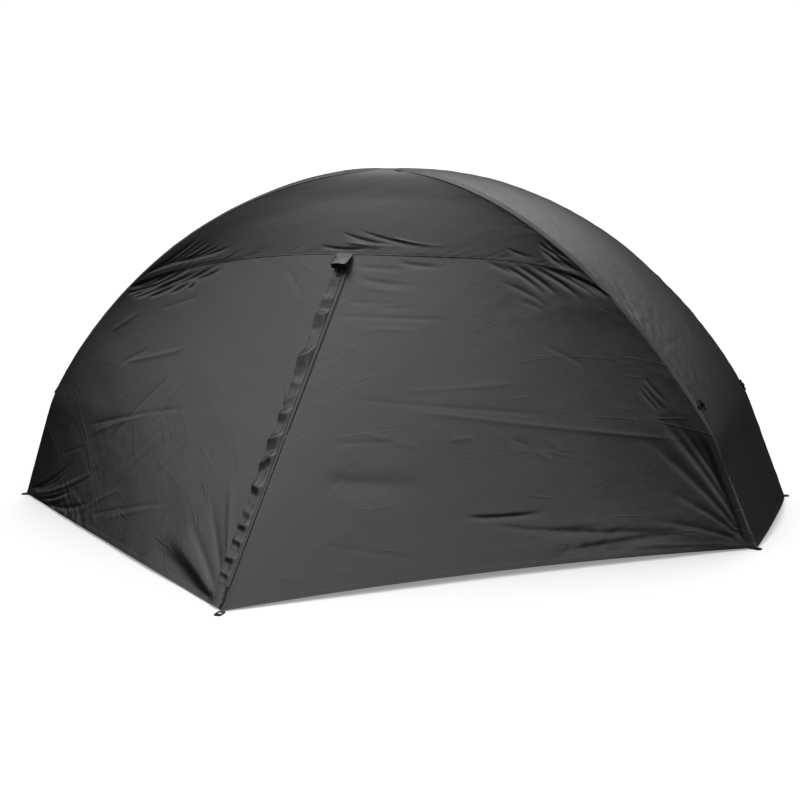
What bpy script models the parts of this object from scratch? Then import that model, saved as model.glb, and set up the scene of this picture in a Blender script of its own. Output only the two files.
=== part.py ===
"""Two-pole dome tent, pitched and closed.

A rain fly lies over two arched poles that cross at the crown. Each long side has a vestibule: a roof
panel down to a seam, and below it two door panels that meet at a zip and run out to a staked corner.
Each short end is one panel from the hem to the crown. The origin is on the ground under the crown,
+X runs along the tent, -Y is the front, +Z is up. The back is the front turned half way round Z.
"""

import math

import bmesh
import bpy
import numpy as np
from mathutils import Matrix

# Poles, in metres. A share runs from 0 at the crown to 1 at the foot
LENGTH = 2.275
WIDTH = 0.552
HEIGHT = 1.0
ELBOW_SHARE = 0.903
ELBOW_HEIGHT = 0.289
ARCH_POWER = 2.105
ARCH_ROUNDING = 1.126
SIDE_BOW = 0.829
POLE_RADIUS = 0.0045
SHARPEST_LEAN = 0.35
HUB_RADIUS = 0.014
HUB_THICKNESS = 0.003
CROSSING_REACH = 0.18
CROSSING_SINK = 0.0008

# Pole feet. The sleeve starts a few tab thicknesses above the ground and narrows a little
FOOT_RADIUS = 0.0062
PIN_RADIUS = 0.003
FOOT_TOP = 0.038
SLEEVE_START = 2.5
SLEEVE_TAPER = 0.95

# Fly
FLY_THICKNESS = 0.002
GAP = 0.0003
EDGE_GAP = 0.0006
SEAM_SHARE = 0.65
SEAM_RISE = 0.168
SEAM_POWER_LEFT = 2.3
SEAM_POWER_RIGHT = 5.0
HEM_HEIGHT = 0.0032
END_HEM_LIFT = 0.012
END_SAG = 0.012
END_HEM_SHARE = 0.7

# Vestibule and its hem: lift above the ground and inward curve at mid length
VESTIBULE_DEPTH = 0.867
VESTIBULE_X = -0.069
LEFT_HEM = (0.004, -0.010)
RIGHT_HEM = (0.014, 0.020)

# Zip, and the slider as rings of (place along it, share of its width, share of its height)
ZIP_TOP_X = -0.026
ZIP_WIDTH = 0.025
RIB_WIDTH = 0.005
SLIDER_SHARE = 0.03
SLIDER_SIZE = (0.010, 0.016, 0.003)
SLIDER_RINGS = ((-0.5, 0.6, 0.7), (-0.3, 1.0, 1.0), (0.2, 1.0, 1.0), (0.5, 0.5, 0.7))
SLIDER_TOP_SHARE = 0.8

# Storm flap, and the hood over the zip's top
FLAP_SHARE = 0.03
FLAP_SETBACK = 0.1
FLAP_THICKNESS = 0.0016
FLAP_ENDS = (0.055, 0.987)
HOOD_X = -0.053
HOOD_WIDTH = 0.047
HOOD_REACH = 0.058
HOOD_FLANGE = 0.010
HOOD_DROOP = math.radians(16)
HOOD_THICKNESS = 0.003

# Seam tape
TAPE_HALF_WIDTH = 0.008
TAPE_THICKNESS = 0.001
TAPE_END = 0.955

# Ground tabs: how far each reaches behind and before its hole
TAB_WIDTH = 0.022
TAB_THICKNESS = 0.002
TAB_SQUARENESS = 1.6
TAB_HOLE = 0.004
TAB_REACH = (0.014, 0.026)
TAB_TURN = 0.4
STAKE_HOLE = 0.006
STAKE_REACH = (0.016, 0.020)
STAKE_OFFSET = 0.012

# Guy loops: places on pole a and pole b, and the curl of the webbing round the bar, in degrees
GUY_SHARES = (0.8825, 0.855)
GUY_SETBACK = 0.002
GUY_WIDTH = 0.011
GUY_THICKNESS = 0.0014
GUY_STEM = 0.022
GUY_CURL = (-60, 210, 30)
BAR_RADIUS = 0.0025
BAR_LENGTH = 0.032

# Mesh steps
LEG_STEPS = 3
SHOULDER_STEPS = 5
CROWN_STEPS = 8
DOOR_STEPS = 7
END_STEPS = 4
POLE_SIDES = 8
TAB_SIDES = 16
HUB_SIDES = 16
CURVE_SAMPLES = 400
SHARP_ANGLE = math.radians(40)

HALF = FLY_THICKNESS / 2
CORNER_SHARE = 1 - HEM_HEIGHT * (1 - ELBOW_SHARE) / ELBOW_HEIGHT
MIDDLE = np.array([0, 0, HEIGHT / 4])
UP = np.array([0, 0, 1.0])
AHEAD = np.ones(3)
TURN = np.array([-1.0, -1.0, 1.0])

# Points closer than this count as one, and the shift keeps round sizes off the lattice's edges
LATTICE = 0.00001
LATTICE_SHIFT = 0.377


def unit(vector):
    return vector / np.linalg.norm(vector)


def lerp(start, end, share):
    return start + (end - start) * share


def facing(vector, target):
    """The vector or its opposite, whichever points the target's way."""
    return vector if vector @ target > 0 else -vector


# Poles and the fly's ridge lines over them


def arch_height(share):
    """Height of the ridge: a rounded arch down to the elbow, then a straight leg."""
    if share > ELBOW_SHARE:
        return ELBOW_HEIGHT * (1 - share) / (1 - ELBOW_SHARE)
    rounded = (1 - (share / ELBOW_SHARE) ** ARCH_POWER) ** (1 / ARCH_ROUNDING)
    return lerp(ELBOW_HEIGHT, HEIGHT, rounded)


def arch_out(share):
    """Distance of the ridge from the long centre plane: the poles bow out sideways."""
    return WIDTH / 2 * share * (1 + SIDE_BOW * (1 - share**2))


def ridge(side_x, side_y, share):
    return np.array([side_x * LENGTH / 2 * share, side_y * arch_out(share), arch_height(share)])


def ridge_run(shares):
    """Length of the ridge line from the first share to each of them."""
    points = np.array([ridge(1, 1, share) for share in shares])
    return np.concatenate([[0], np.cumsum(np.linalg.norm(np.diff(points, axis=0), axis=1))])


def even_shares(start, end, steps):
    """Shares that split a stretch of the ridge into equal lengths."""
    dense = np.linspace(start, end, CURVE_SAMPLES)
    run = ridge_run(dense)
    return np.interp(np.linspace(0, run[-1], steps + 1), run, dense)


def rise_shares(rows):
    """Each row's height along the door, from 0 at the hem to 1 at the seam."""
    run = ridge_run(rows)
    return run / run[-1]


LEG = even_shares(CORNER_SHARE, ELBOW_SHARE, LEG_STEPS)
SHOULDER = even_shares(ELBOW_SHARE, SEAM_SHARE, SHOULDER_STEPS)
CROWN = even_shares(SEAM_SHARE, 0, CROWN_STEPS)
BELOW_SEAM = np.concatenate([LEG, SHOULDER[1:]])
ALL_SHARES = np.concatenate([BELOW_SEAM, CROWN[1:]])
DOOR_ACROSS = np.concatenate([[0, FLAP_SHARE], np.linspace(FLAP_SHARE, 1, DOOR_STEPS)[1:]])
RIGHT_ACROSS = np.linspace(0, 1, DOOR_STEPS + 1)


# Front surfaces


def roof(across, share):
    """Point of the front roof: across runs from -1 at the left ridge to 1 at the right ridge."""
    power = SEAM_POWER_LEFT if across < 0 else SEAM_POWER_RIGHT
    inner = share * (1 - SEAM_RISE * (1 - abs(across) ** power))
    return np.array([across * LENGTH / 2 * share, -arch_out(inner), arch_height(inner)])


ZIP_TOP_ACROSS = ZIP_TOP_X / (LENGTH / 2 * SEAM_SHARE)
ZIP_EDGE_ACROSS = ZIP_TOP_ACROSS - ZIP_WIDTH / (LENGTH / 2 * SEAM_SHARE)
ZIP_TOP = roof(ZIP_TOP_ACROSS, SEAM_SHARE)
ZIP_EDGE_TOP = roof(ZIP_EDGE_ACROSS, SEAM_SHARE)
STAKED_CORNER = np.array([VESTIBULE_X, -WIDTH / 2 - VESTIBULE_DEPTH, HEM_HEIGHT])
ZIP_EDGE_BOTTOM = STAKED_CORNER + ZIP_WIDTH * unit(ridge(-1, -1, CORNER_SHARE) - STAKED_CORNER)


def hem(start, end, shape, share):
    """Hem from the staked corner to a pole foot, lifted and curved inward at mid length."""
    lift, inward = shape
    bulge = 4 * share * (1 - share)
    return lerp(start, end, share) + bulge * np.array([0, inward, lift])


def door(edge_bottom, edge_top, edge_across, side_x, shape, across, rows):
    """Grid of a door panel: a surface blended between zip, pole ridge, hem and seam."""
    foot = ridge(side_x, -1, CORNER_SHARE)
    shoulder = ridge(side_x, -1, SEAM_SHARE)
    grid = np.zeros((len(rows), len(across), 3))
    for i, (up, share) in enumerate(zip(rise_shares(rows), rows)):
        near = lerp(edge_bottom, edge_top, up)
        far = ridge(side_x, -1, share)
        for j, over in enumerate(across):
            low = hem(edge_bottom, foot, shape, over)
            high = roof(lerp(edge_across, side_x, over), SEAM_SHARE)
            sides = lerp(near, far, over)
            ends = lerp(low, high, up)
            corners = lerp(lerp(edge_bottom, foot, over), lerp(edge_top, shoulder, over), up)
            grid[i, j] = sides + ends - corners
    return grid


def roof_grid():
    left = [lerp(ZIP_EDGE_ACROSS, -1, over) for over in DOOR_ACROSS[::-1]]
    right = [lerp(ZIP_TOP_ACROSS, 1, over) for over in RIGHT_ACROSS]
    return np.array([[roof(across, share) for across in left + right] for share in CROWN])


def end_grid():
    """Right end panel: rows from the hem to the crown, columns from the front ridge to the back one."""
    across = np.linspace(-1, 1, END_STEPS + 1)
    grid = np.zeros((len(ALL_SHARES), len(across), 3))
    for i, share in enumerate(ALL_SHARES):
        low = max(0, 1 - arch_height(share) / (END_HEM_SHARE * ELBOW_HEIGHT))
        for j, over in enumerate(across):
            sag = (1 - over**2) * END_SAG * share
            lift = (1 - over**2) * END_HEM_LIFT * low
            grid[i, j] = ridge(1, 1, share) * [1, over, 1] + [-sag, 0, lift]
    return grid


def zip_grid():
    ups = rise_shares(BELOW_SEAM)
    near = [lerp(STAKED_CORNER, ZIP_TOP, up) for up in ups]
    edge = [lerp(ZIP_EDGE_BOTTOM, ZIP_EDGE_TOP, up) for up in ups]
    return np.stack([near, edge], axis=1)


def front_grids():
    left = door(ZIP_EDGE_BOTTOM, ZIP_EDGE_TOP, ZIP_EDGE_ACROSS, -1, LEFT_HEM, DOOR_ACROSS, BELOW_SEAM)
    right = door(STAKED_CORNER, ZIP_TOP, ZIP_TOP_ACROSS, 1, RIGHT_HEM, RIGHT_ACROSS, BELOW_SEAM)
    return {"roof": roof_grid(), "door_left": left, "door_right": right, "zip": zip_grid(), "end": end_grid()}


# Normals that neighbouring panels share along their common edges


def grid_normals(grid):
    """Unit normals of a grid's points, away from the middle of the tent."""
    sums = np.zeros(grid.shape)
    for i in range(grid.shape[0] - 1):
        for j in range(grid.shape[1] - 1):
            normal = np.cross(grid[i + 1, j + 1] - grid[i, j], grid[i + 1, j] - grid[i, j + 1])
            for di, dj in ((0, 0), (0, 1), (1, 0), (1, 1)):
                sums[i + di, j + dj] += normal
    normals = sums / np.linalg.norm(sums, axis=2, keepdims=True)
    outward = np.sum(normals * (grid - MIDDLE)) > 0
    return normals if outward else -normals


def key(point):
    """The point's cell in a fine lattice."""
    return tuple(np.floor(point / LATTICE + LATTICE_SHIFT).astype(int))


def shared_normals(panels):
    sums = {}
    for grid, normals in panels:
        for point, normal in zip(grid.reshape(-1, 3), normals.reshape(-1, 3)):
            sums[key(point)] = sums.get(key(point), 0) + normal
    return {place: unit(total) for place, total in sums.items()}


def facet_normals(panels):
    """For each grid point, the normals of all triangles that could meet there."""
    found = {}
    for grid, normals in panels:
        for i in range(grid.shape[0] - 1):
            for j in range(grid.shape[1] - 1):
                cell = [(i, j), (i, j + 1), (i + 1, j + 1), (i + 1, j)]
                for skipped in range(4):
                    corners = [grid[place] for n, place in enumerate(cell) if n != skipped]
                    normal = np.cross(corners[1] - corners[0], corners[2] - corners[0])
                    if np.linalg.norm(normal) < LATTICE**2:
                        continue
                    normal = facing(unit(normal), normals[i, j])
                    for corner in corners:
                        found.setdefault(key(corner), []).append(normal)
    return found


def inset(grid, sides):
    """The grid with its named sides drawn in by one gap, so that neighbours don't touch."""
    moved = grid.copy()
    for side in sides:
        flat = side in ("low", "high")
        lines = grid if flat else grid.transpose(1, 0, 2)
        target = moved if flat else moved.transpose(1, 0, 2)
        edge, beside = (0, 1) if side in ("low", "left") else (-1, -2)
        here, there = lines[edge], lines[beside]
        for n in range(len(here)):
            along = here[min(n + 1, len(here) - 1)] - here[max(n - 1, 0)]
            step = there[n] - here[n]
            step = step - along * (step @ along) / (along @ along)
            if np.linalg.norm(step) > EDGE_GAP:
                target[edge, n] += unit(step) * EDGE_GAP
    return moved


# Mesh builders


def solid(name, points, faces, look, smooth=True):
    mesh = bpy.data.meshes.new(name)
    mesh.from_pydata([tuple(map(float, point)) for point in points], [], faces)
    bm = bmesh.new()
    bm.from_mesh(mesh)
    bmesh.ops.recalc_face_normals(bm, faces=bm.faces)
    bm.to_mesh(mesh)
    bm.free()
    if smooth:
        mesh.shade_smooth()
        mesh.set_sharp_from_angle(angle=SHARP_ANGLE)
    mesh.materials.append(look)
    thing = bpy.data.objects.new(name, mesh)
    bpy.context.scene.collection.objects.link(thing)
    return thing


def shell(name, middle, normals, thickness, look, lift=0.0, pointed=False):
    """Closed sheet around a grid. A pointed one has its last row drawn together into one point."""
    rows, cols = middle.shape[:2]
    points = []
    index = np.zeros((2, rows, cols), int)
    for layer, height in enumerate((lift + thickness / 2, lift - thickness / 2)):
        for i in range(rows):
            for j in range(cols):
                if pointed and i == rows - 1 and j > 0:
                    index[layer, i, j] = index[layer, i, 0]
                    continue
                index[layer, i, j] = len(points)
                points.append(middle[i, j] + normals[i, j] * height)
    faces = []
    for i in range(rows - 1):
        for j in range(cols - 1):
            a, b, c, d = (i, j), (i, j + 1), (i + 1, j + 1), (i + 1, j)
            first = np.linalg.norm(middle[a] - middle[c])
            second = np.linalg.norm(middle[b] - middle[d])
            halves = [(a, b, c), (a, c, d)] if first < second else [(a, b, d), (b, c, d)]
            for half in halves:
                faces.append([index[0][corner] for corner in half])
                faces.append([index[1][corner] for corner in reversed(half)])
    rim = [(0, j) for j in range(cols)] + [(i, cols - 1) for i in range(1, rows)]
    rim += [(rows - 1, j) for j in range(cols - 2, -1, -1)] + [(i, 0) for i in range(rows - 2, 0, -1)]
    for here, there in zip(rim, rim[1:] + rim[:1]):
        faces.append([index[0][there], index[0][here], index[1][here], index[1][there]])
    clean = []
    for face in faces:
        kept = [v for n, v in enumerate(face) if v != face[n - 1]]
        if len(kept) > 2:
            clean.append(kept)
    return solid(name, points, clean, look)


def loft(name, rings, look, smooth=True):
    """Closed solid through rings of points, with a flat cap at each end."""
    sides = len(rings[0])
    points = [point for ring in rings for point in ring]
    faces = [list(range(sides))[::-1]]
    for r in range(len(rings) - 1):
        for s in range(sides):
            a, b = r * sides + s, r * sides + (s + 1) % sides
            faces.append([a, b, b + sides, a + sides])
    faces.append([(len(rings) - 1) * sides + s for s in range(sides)])
    return solid(name, points, faces, look, smooth)


def circle(centre, normal, radius, sides):
    reference = np.array([0, 1, 0]) if abs(normal[1]) < 0.9 else np.array([1, 0, 0])
    u = unit(np.cross(reference, normal))
    v = np.cross(normal, u)
    angles = [2 * math.pi * n / sides for n in range(sides)]
    return [centre + radius * (math.cos(a) * u + math.sin(a) * v) for a in angles]


def tube(name, path, radius, sides, look):
    rings = []
    for n, point in enumerate(path):
        before, after = path[max(n - 1, 0)], path[min(n + 1, len(path) - 1)]
        rings.append(circle(point, unit(after - before), radius, sides))
    return loft(name, rings, look)


# Materials


def material(name, colour, roughness, metallic=0.0):
    made = bpy.data.materials.new(name)
    made.use_nodes = True
    shader = made.node_tree.nodes["Principled BSDF"]
    shader.inputs["Base Color"].default_value = (*colour, 1)
    shader.inputs["Roughness"].default_value = roughness
    shader.inputs["Metallic"].default_value = metallic
    made.diffuse_color = (*colour, 1)
    return made


def make_looks():
    return {
        "fabric": material("fly_fabric", (0.030, 0.031, 0.033), 0.45),
        "tape": material("zip_tape", (0.012, 0.012, 0.013), 0.6),
        "hood": material("hood_plastic", (0.05, 0.05, 0.052), 0.35),
        "black": material("black_plastic", (0.01, 0.01, 0.01), 0.4),
        "metal": material("slider_metal", (0.08, 0.08, 0.085), 0.4, 0.9),
        "webbing": material("webbing", (0.012, 0.012, 0.013), 0.7),
        "alloy": material("pole_alloy", (0.42, 0.43, 0.45), 0.35, 0.9),
    }


# Fly


def make_panel(name, grid, shared, sides, look, pointed=False):
    middle = inset(grid, sides)
    normals = np.array([[shared[key(point)] for point in row] for row in grid])
    if pointed:
        across = (grid[-2, 0] + grid[-2, -1]) / 2 - grid[-1, 0]
        middle[-1] = grid[-1] + unit(across) * 2 * EDGE_GAP
    return shell(name, middle, normals, FLY_THICKNESS, look, pointed=pointed)


def make_zip(name, grid, shared, look):
    """Zip tape between the doors, with the closed coil as a rib along its middle."""
    middle = ZIP_WIDTH / 2
    tape_top = -HALF / 4
    profile = [
        (GAP, -HALF),
        (ZIP_WIDTH - GAP, -HALF),
        (ZIP_WIDTH - GAP, tape_top),
        (middle + RIB_WIDTH / 2, tape_top),
        (middle + RIB_WIDTH / 3, HALF),
        (middle - RIB_WIDTH / 3, HALF),
        (middle - RIB_WIDTH / 2, tape_top),
        (GAP, tape_top),
    ]
    rings = []
    for i, (near, edge) in enumerate(grid):
        near_normal, edge_normal = shared[key(near)], shared[key(edge)]
        drop = unit(grid[-2, 0] - grid[-1, 0]) * GAP if i == len(grid) - 1 else 0
        ring = []
        for over, height in profile:
            share = over / ZIP_WIDTH
            ring.append(lerp(near, edge, share) + lerp(near_normal, edge_normal, share) * height + drop)
        rings.append(ring)
    return loft(name, rings, look, smooth=False)


def cut_rows(grid, low, high):
    """Rows of the grid between two shares of its height, with new end rows on its grid lines."""
    ups = rise_shares(BELOW_SEAM)
    kept = [up for up in ups if low < up < high]
    rows = []
    for up in [low, *kept, high]:
        n = min(int(np.searchsorted(ups, up, side="right")) - 1, len(ups) - 2)
        rows.append(lerp(grid[n], grid[n + 1], (up - ups[n]) / (ups[n + 1] - ups[n])))
    return np.array(rows)


def make_flap(name, grids, look):
    """Storm flap over the zip: from the zip's far edge to the first column of the left door."""
    strip = np.concatenate([grids["zip"], grids["door_left"][:, 1:2]], axis=1)
    strip = cut_rows(strip, *FLAP_ENDS)
    normals = grid_normals(strip)
    strip[:, 0] += (strip[:, 1] - strip[:, 0]) * FLAP_SETBACK
    return shell(name, strip, normals, FLAP_THICKNESS, look, HALF + GAP + FLAP_THICKNESS / 2)


def make_seam_tape(name, grids, look):
    """Folded seam over the joint of roof and doors, which ends a little before each ridge."""
    seam, above = grids["roof"][:2]
    below = np.concatenate([grids["door_left"][-2][::-1], grids["door_right"][-2]])
    columns = []
    for j in range(1, len(seam) - 1):
        low = seam[j] + unit(below[j] - seam[j]) * TAPE_HALF_WIDTH
        high = seam[j] + unit(above[j] - seam[j]) * TAPE_HALF_WIDTH
        columns.append(np.array([low, seam[j], high]))
    ends = []
    for column, inner, outer in ((columns[0], seam[1], seam[0]), (columns[-1], seam[-2], seam[-1])):
        share = (TAPE_END * LENGTH / 2 * SEAM_SHARE - abs(inner[0])) / (abs(outer[0]) - abs(inner[0]))
        ends.append(column + (outer - inner) * share)
    strip = np.array([ends[0], *columns, ends[1]]).transpose(1, 0, 2)
    lift = HALF + 3 * GAP + TAPE_THICKNESS / 2
    return shell(name, strip, grid_normals(strip), TAPE_THICKNESS, look, lift)


def make_hood(name, look):
    """Stiff tab over the zip's top: a flange sewn on the seam, and a plate that stands out from it."""
    across = HOOD_X / (LENGTH / 2 * SEAM_SHARE)
    seat = roof(across, SEAM_SHARE)
    up_roof = unit(roof(across, CROWN[1]) - seat)
    outward = unit(np.cross([1, 0, 0], up_roof))
    out = np.array([0, -math.cos(HOOD_DROOP), -math.sin(HOOD_DROOP)])
    over = facing(unit(np.cross(out, [1, 0, 0])), UP)
    fold = seat + outward * (HALF + 5 * GAP + TAPE_THICKNESS)
    profile = [
        fold,
        fold + out * HOOD_REACH,
        fold + out * HOOD_REACH + over * HOOD_THICKNESS,
        fold + (outward + up_roof) * HOOD_THICKNESS,
        fold + up_roof * HOOD_FLANGE + outward * HOOD_THICKNESS / 2,
        fold + up_roof * HOOD_FLANGE,
    ]
    rings = []
    for side in (-1, 1):
        rings.append([point + np.array([side * HOOD_WIDTH / 2, 0, 0]) for point in profile])
    return loft(name, rings, look, smooth=False)


def make_slider(name, grids, look):
    """Zip slider at the bottom of the closed zip, a rounded block on the coil."""
    near, edge = grids["zip"][0]
    top_near, top_edge = grids["zip"][-1]
    place = (lerp(near, top_near, SLIDER_SHARE) + lerp(edge, top_edge, SLIDER_SHARE)) / 2
    along = unit(top_near - near)
    side = unit(edge - near)
    normal = facing(unit(np.cross(along, side)), np.array([0, -1, 0]))
    width, length, height = SLIDER_SIZE
    base = HALF + GAP
    rings = []
    for step, wide, tall in SLIDER_RINGS:
        centre = place + along * step * length
        half = side * width / 2 * wide
        low, high = centre + normal * base, centre + normal * (base + height * tall)
        top = half * SLIDER_TOP_SHARE
        rings.append([low - half, low + half, high + top, high - top])
    return loft(name, rings, look, smooth=False)


# Poles and their feet


def pole_path(side_x, side_y, shared, facets, under):
    """Centre line of half a pole, inside the ridge, from above its foot to the crown."""
    path = []
    for share in ALL_SHARES:
        point = ridge(side_x, side_y, share)
        normal = shared[key(point)]
        down_leg = np.clip((share - ELBOW_SHARE) / (1 - ELBOW_SHARE), 0, 1)
        radius = lerp(POLE_RADIUS, FOOT_RADIUS + GAP, down_leg)
        lean = min(float(normal @ facet) for facet in facets[key(point)])
        depth = (radius + 2 * GAP + HALF) / max(SHARPEST_LEAN, lean)
        if under:
            away = float(np.hypot(point[0], point[1]))
            below = 2 * POLE_RADIUS + HUB_THICKNESS + 2 * GAP + 2 * CROSSING_SINK
            depth += below * math.exp(-((away / CROSSING_REACH) ** 2))
        path.append(point - normal * depth)
    return path


def leg_line(path):
    """Foot of the leg's centre line on the ground, and the leg's direction."""
    way = unit(path[LEG_STEPS] - path[0])
    return path[0] - way * path[0][2] / way[2], way


def make_pole(name, halves, look):
    ends = []
    for path in halves:
        ground, way = leg_line(path)
        ends.append([ground + way * (FOOT_TOP + GAP) / way[2], *path[1:]])
    first, second = ends
    return tube(name, [*first, *second[-2::-1]], POLE_RADIUS, POLE_SIDES, look)


def sleeve_foot():
    return SLEEVE_START * (TAB_THICKNESS + GAP)


def make_foot(name, path, look):
    """Pole end: a pin through the ground tab's eyelet, a shoulder on the tab, and a sleeve on the leg."""
    ground, way = leg_line(path)
    sides = POLE_SIDES + 2
    shoulder = TAB_THICKNESS + GAP
    start = sleeve_foot()
    base = ground + way * start / way[2]
    levels = [(GAP, PIN_RADIUS), (shoulder, PIN_RADIUS), (shoulder, FOOT_RADIUS), (start, FOOT_RADIUS)]
    rings = [circle(np.array([base[0], base[1], z]), UP, radius, sides) for z, radius in levels]
    rings.append(circle(ground + way * 2 * start / way[2], unit(UP + way), FOOT_RADIUS, sides))
    for height in (3 * start, FOOT_TOP):
        rings.append(circle(ground + way * height / way[2], way, FOOT_RADIUS * SLEEVE_TAPER, sides))
    return loft(name, rings, look)


def make_hub(name, look):
    """Round pad between the two poles where they cross."""
    top = HEIGHT - HALF - 2 * GAP - 2 * POLE_RADIUS - GAP - CROSSING_SINK
    return tube(name, [UP * top, UP * (top - HUB_THICKNESS)], HUB_RADIUS, HUB_SIDES, look)


# Ground tabs and guy loops


def squared(value):
    """A sine or cosine flattened at its ends, which makes a circle into a rounded square."""
    return math.copysign(min(1, TAB_SQUARENESS * abs(value)), value)


def make_tab(name, eyelet, way, reach, hole, look):
    """Flat webbing tab on the ground: a rounded strip around an eyelet."""
    way = unit(np.array([way[0], way[1], 0]))
    side = np.array([-way[1], way[0], 0])
    back, front = reach
    points = []
    for height in (0, TAB_THICKNESS):
        centre = np.array([eyelet[0], eyelet[1], height])
        angles = [2 * math.pi * n / TAB_SIDES for n in range(TAB_SIDES)]
        for angle in angles:
            points.append(centre + hole * (way * math.cos(angle) + side * math.sin(angle)))
        for angle in angles:
            long = front if math.cos(angle) > 0 else back
            along, over = squared(math.cos(angle)) * long, squared(math.sin(angle)) * TAB_WIDTH / 2
            points.append(centre + way * along + side * over)
    faces = []
    low_in, low_out, top_in, top_out = (n * TAB_SIDES for n in range(4))
    for n in range(TAB_SIDES):
        m = (n + 1) % TAB_SIDES
        faces.append([low_in + n, low_in + m, low_out + m, low_out + n])
        faces.append([top_in + m, top_in + n, top_out + n, top_out + m])
        faces.append([low_out + n, low_out + m, top_out + m, top_out + n])
        faces.append([low_in + m, low_in + n, top_in + n, top_in + m])
    return solid(name, points, faces, look, smooth=False)


def make_corner_tab(name, path, side_x, side_y, look):
    """Tab under a pole foot, turned out from the tent."""
    ground, way = leg_line(path)
    eyelet = ground + way * sleeve_foot() / way[2]
    return make_tab(name, eyelet, (side_x, TAB_TURN * side_y), TAB_REACH, TAB_HOLE, look)


def guy_frame(grid, edge, share):
    """Place and directions of a guy loop: on the ridge, over the end panel and away from it."""
    i = int(np.sum(ALL_SHARES > share)) - 1
    part = (ALL_SHARES[i] - share) / (ALL_SHARES[i] - ALL_SHARES[i + 1])
    beside = 1 if edge == 0 else -2
    place = lerp(grid[i, edge], grid[i + 1, edge], part)
    inward = lerp(grid[i, beside], grid[i + 1, beside], part) - place
    along = unit(grid[i + 1, edge] - grid[i, edge])
    normal = facing(unit(np.cross(along, inward)), place - MIDDLE)
    return place, along, facing(np.cross(normal, along), inward), normal


def make_guy(name, frame, looks):
    """Webbing loop sewn to the ridge, folded over the end panel around a short bar."""
    place, along, over, normal = frame
    eye = BAR_RADIUS + GAP + GUY_THICKNESS / 2
    lie = HALF + 2 * GAP + GUY_THICKNESS / 2
    path = [(GUY_SETBACK, lie), (GUY_STEM, lie)]
    start, end, step = GUY_CURL
    for turn in range(start, end + 1, step):
        angle = math.radians(turn)
        path.append((GUY_STEM + eye * math.cos(angle), lie + eye + eye * math.sin(angle)))
    sides = {1: [], -1: []}
    for n, (x, y) in enumerate(path):
        x0, y0 = path[max(n - 1, 0)]
        x1, y1 = path[min(n + 1, len(path) - 1)]
        half = GUY_THICKNESS / 2 / math.hypot(x1 - x0, y1 - y0)
        for flip, line in sides.items():
            line.append((x - (y1 - y0) * flip * half, y + (x1 - x0) * flip * half))
    outline = sides[1] + sides[-1][::-1]
    rings = []
    for side in (-GUY_WIDTH / 2, GUY_WIDTH / 2):
        rings.append([place + over * x + normal * y + along * side for x, y in outline])
    loft(f"guy_loop_{name}", rings, looks["webbing"], smooth=False)
    centre = place + over * GUY_STEM + normal * (lie + eye)
    ends = [centre - along * BAR_LENGTH / 2, centre + along * BAR_LENGTH / 2]
    tube(f"guy_bar_{name}", ends, BAR_RADIUS, POLE_SIDES, looks["black"])


# Assembly


def make_side(side, grids, shared, looks):
    """One long side with its roof, doors, zip, flap, seam tape, hood, slider and stake loop."""
    fabric = looks["fabric"]
    turn = TURN if side == "back" else AHEAD
    turned = {part: grid * turn for part, grid in grids.items()}
    make_panel(f"roof_{side}", turned["roof"], shared, ("low", "left", "right"), fabric, pointed=True)
    make_panel(f"door_{side}_left", turned["door_left"], shared, ("high", "left", "right"), fabric)
    make_panel(f"door_{side}_right", turned["door_right"], shared, ("high", "left", "right"), fabric)
    make_zip(f"zip_{side}", turned["zip"], shared, looks["tape"])
    stake = STAKED_CORNER + [0, -STAKE_OFFSET, 0]
    details = [
        make_flap(f"storm_flap_{side}", grids, fabric),
        make_seam_tape(f"seam_tape_{side}", grids, fabric),
        make_hood(f"hood_tab_{side}", looks["hood"]),
        make_slider(f"zip_slider_{side}", grids, looks["metal"]),
        make_tab(f"stake_loop_{side}", stake, (0, -1), STAKE_REACH, STAKE_HOLE, looks["webbing"]),
    ]
    if side == "back":
        for thing in details:
            thing.data.transform(Matrix.Rotation(math.pi, 4, "Z"))


def make_tent():
    looks = make_looks()
    grids = front_grids()
    panels = []
    for turn in (AHEAD, TURN):
        panels += [(grid * turn, grid_normals(grid) * turn) for grid in grids.values()]
    shared = shared_normals(panels)
    for side in ("front", "back"):
        make_side(side, grids, shared, looks)
    ends = {"right": grids["end"], "left": grids["end"] * TURN}
    for side, grid in ends.items():
        make_panel(f"end_panel_{side}", grid, shared, ("left", "right"), looks["fabric"], pointed=True)

    facets = facet_normals(panels)
    corners = {"front_left": (-1, -1), "front_right": (1, -1), "back_right": (1, 1), "back_left": (-1, 1)}
    paths = {}
    for corner, (side_x, side_y) in corners.items():
        on_pole_b = side_x * side_y < 0
        paths[corner] = pole_path(side_x, side_y, shared, facets, on_pole_b)
        make_foot(f"pole_foot_{corner}", paths[corner], looks["black"])
        make_corner_tab(f"corner_tab_{corner}", paths[corner], side_x, side_y, looks["webbing"])
        grid = ends["right" if side_x > 0 else "left"]
        frame = guy_frame(grid, 0 if on_pole_b else -1, GUY_SHARES[on_pole_b])
        make_guy(corner, frame, looks)
    make_pole("pole_a", (paths["front_left"], paths["back_right"]), looks["alloy"])
    make_pole("pole_b", (paths["front_right"], paths["back_left"]), looks["alloy"])
    make_hub("pole_hub", looks["black"])


for thing in list(bpy.data.objects):
    bpy.data.objects.remove(thing)
make_tent()
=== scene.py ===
"""Looks of the dome tent: cloth panels with their folds, seams, zips, webbing, poles and materials.

All is in metres in the part's frame: the origin is on the ground under the crown, +X runs along the
tent, -Y is the front and +Z is up. The back is the front turned half way round Z.
"""

import math

import bmesh
import bpy
import numpy as np
from mathutils import Matrix


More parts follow.
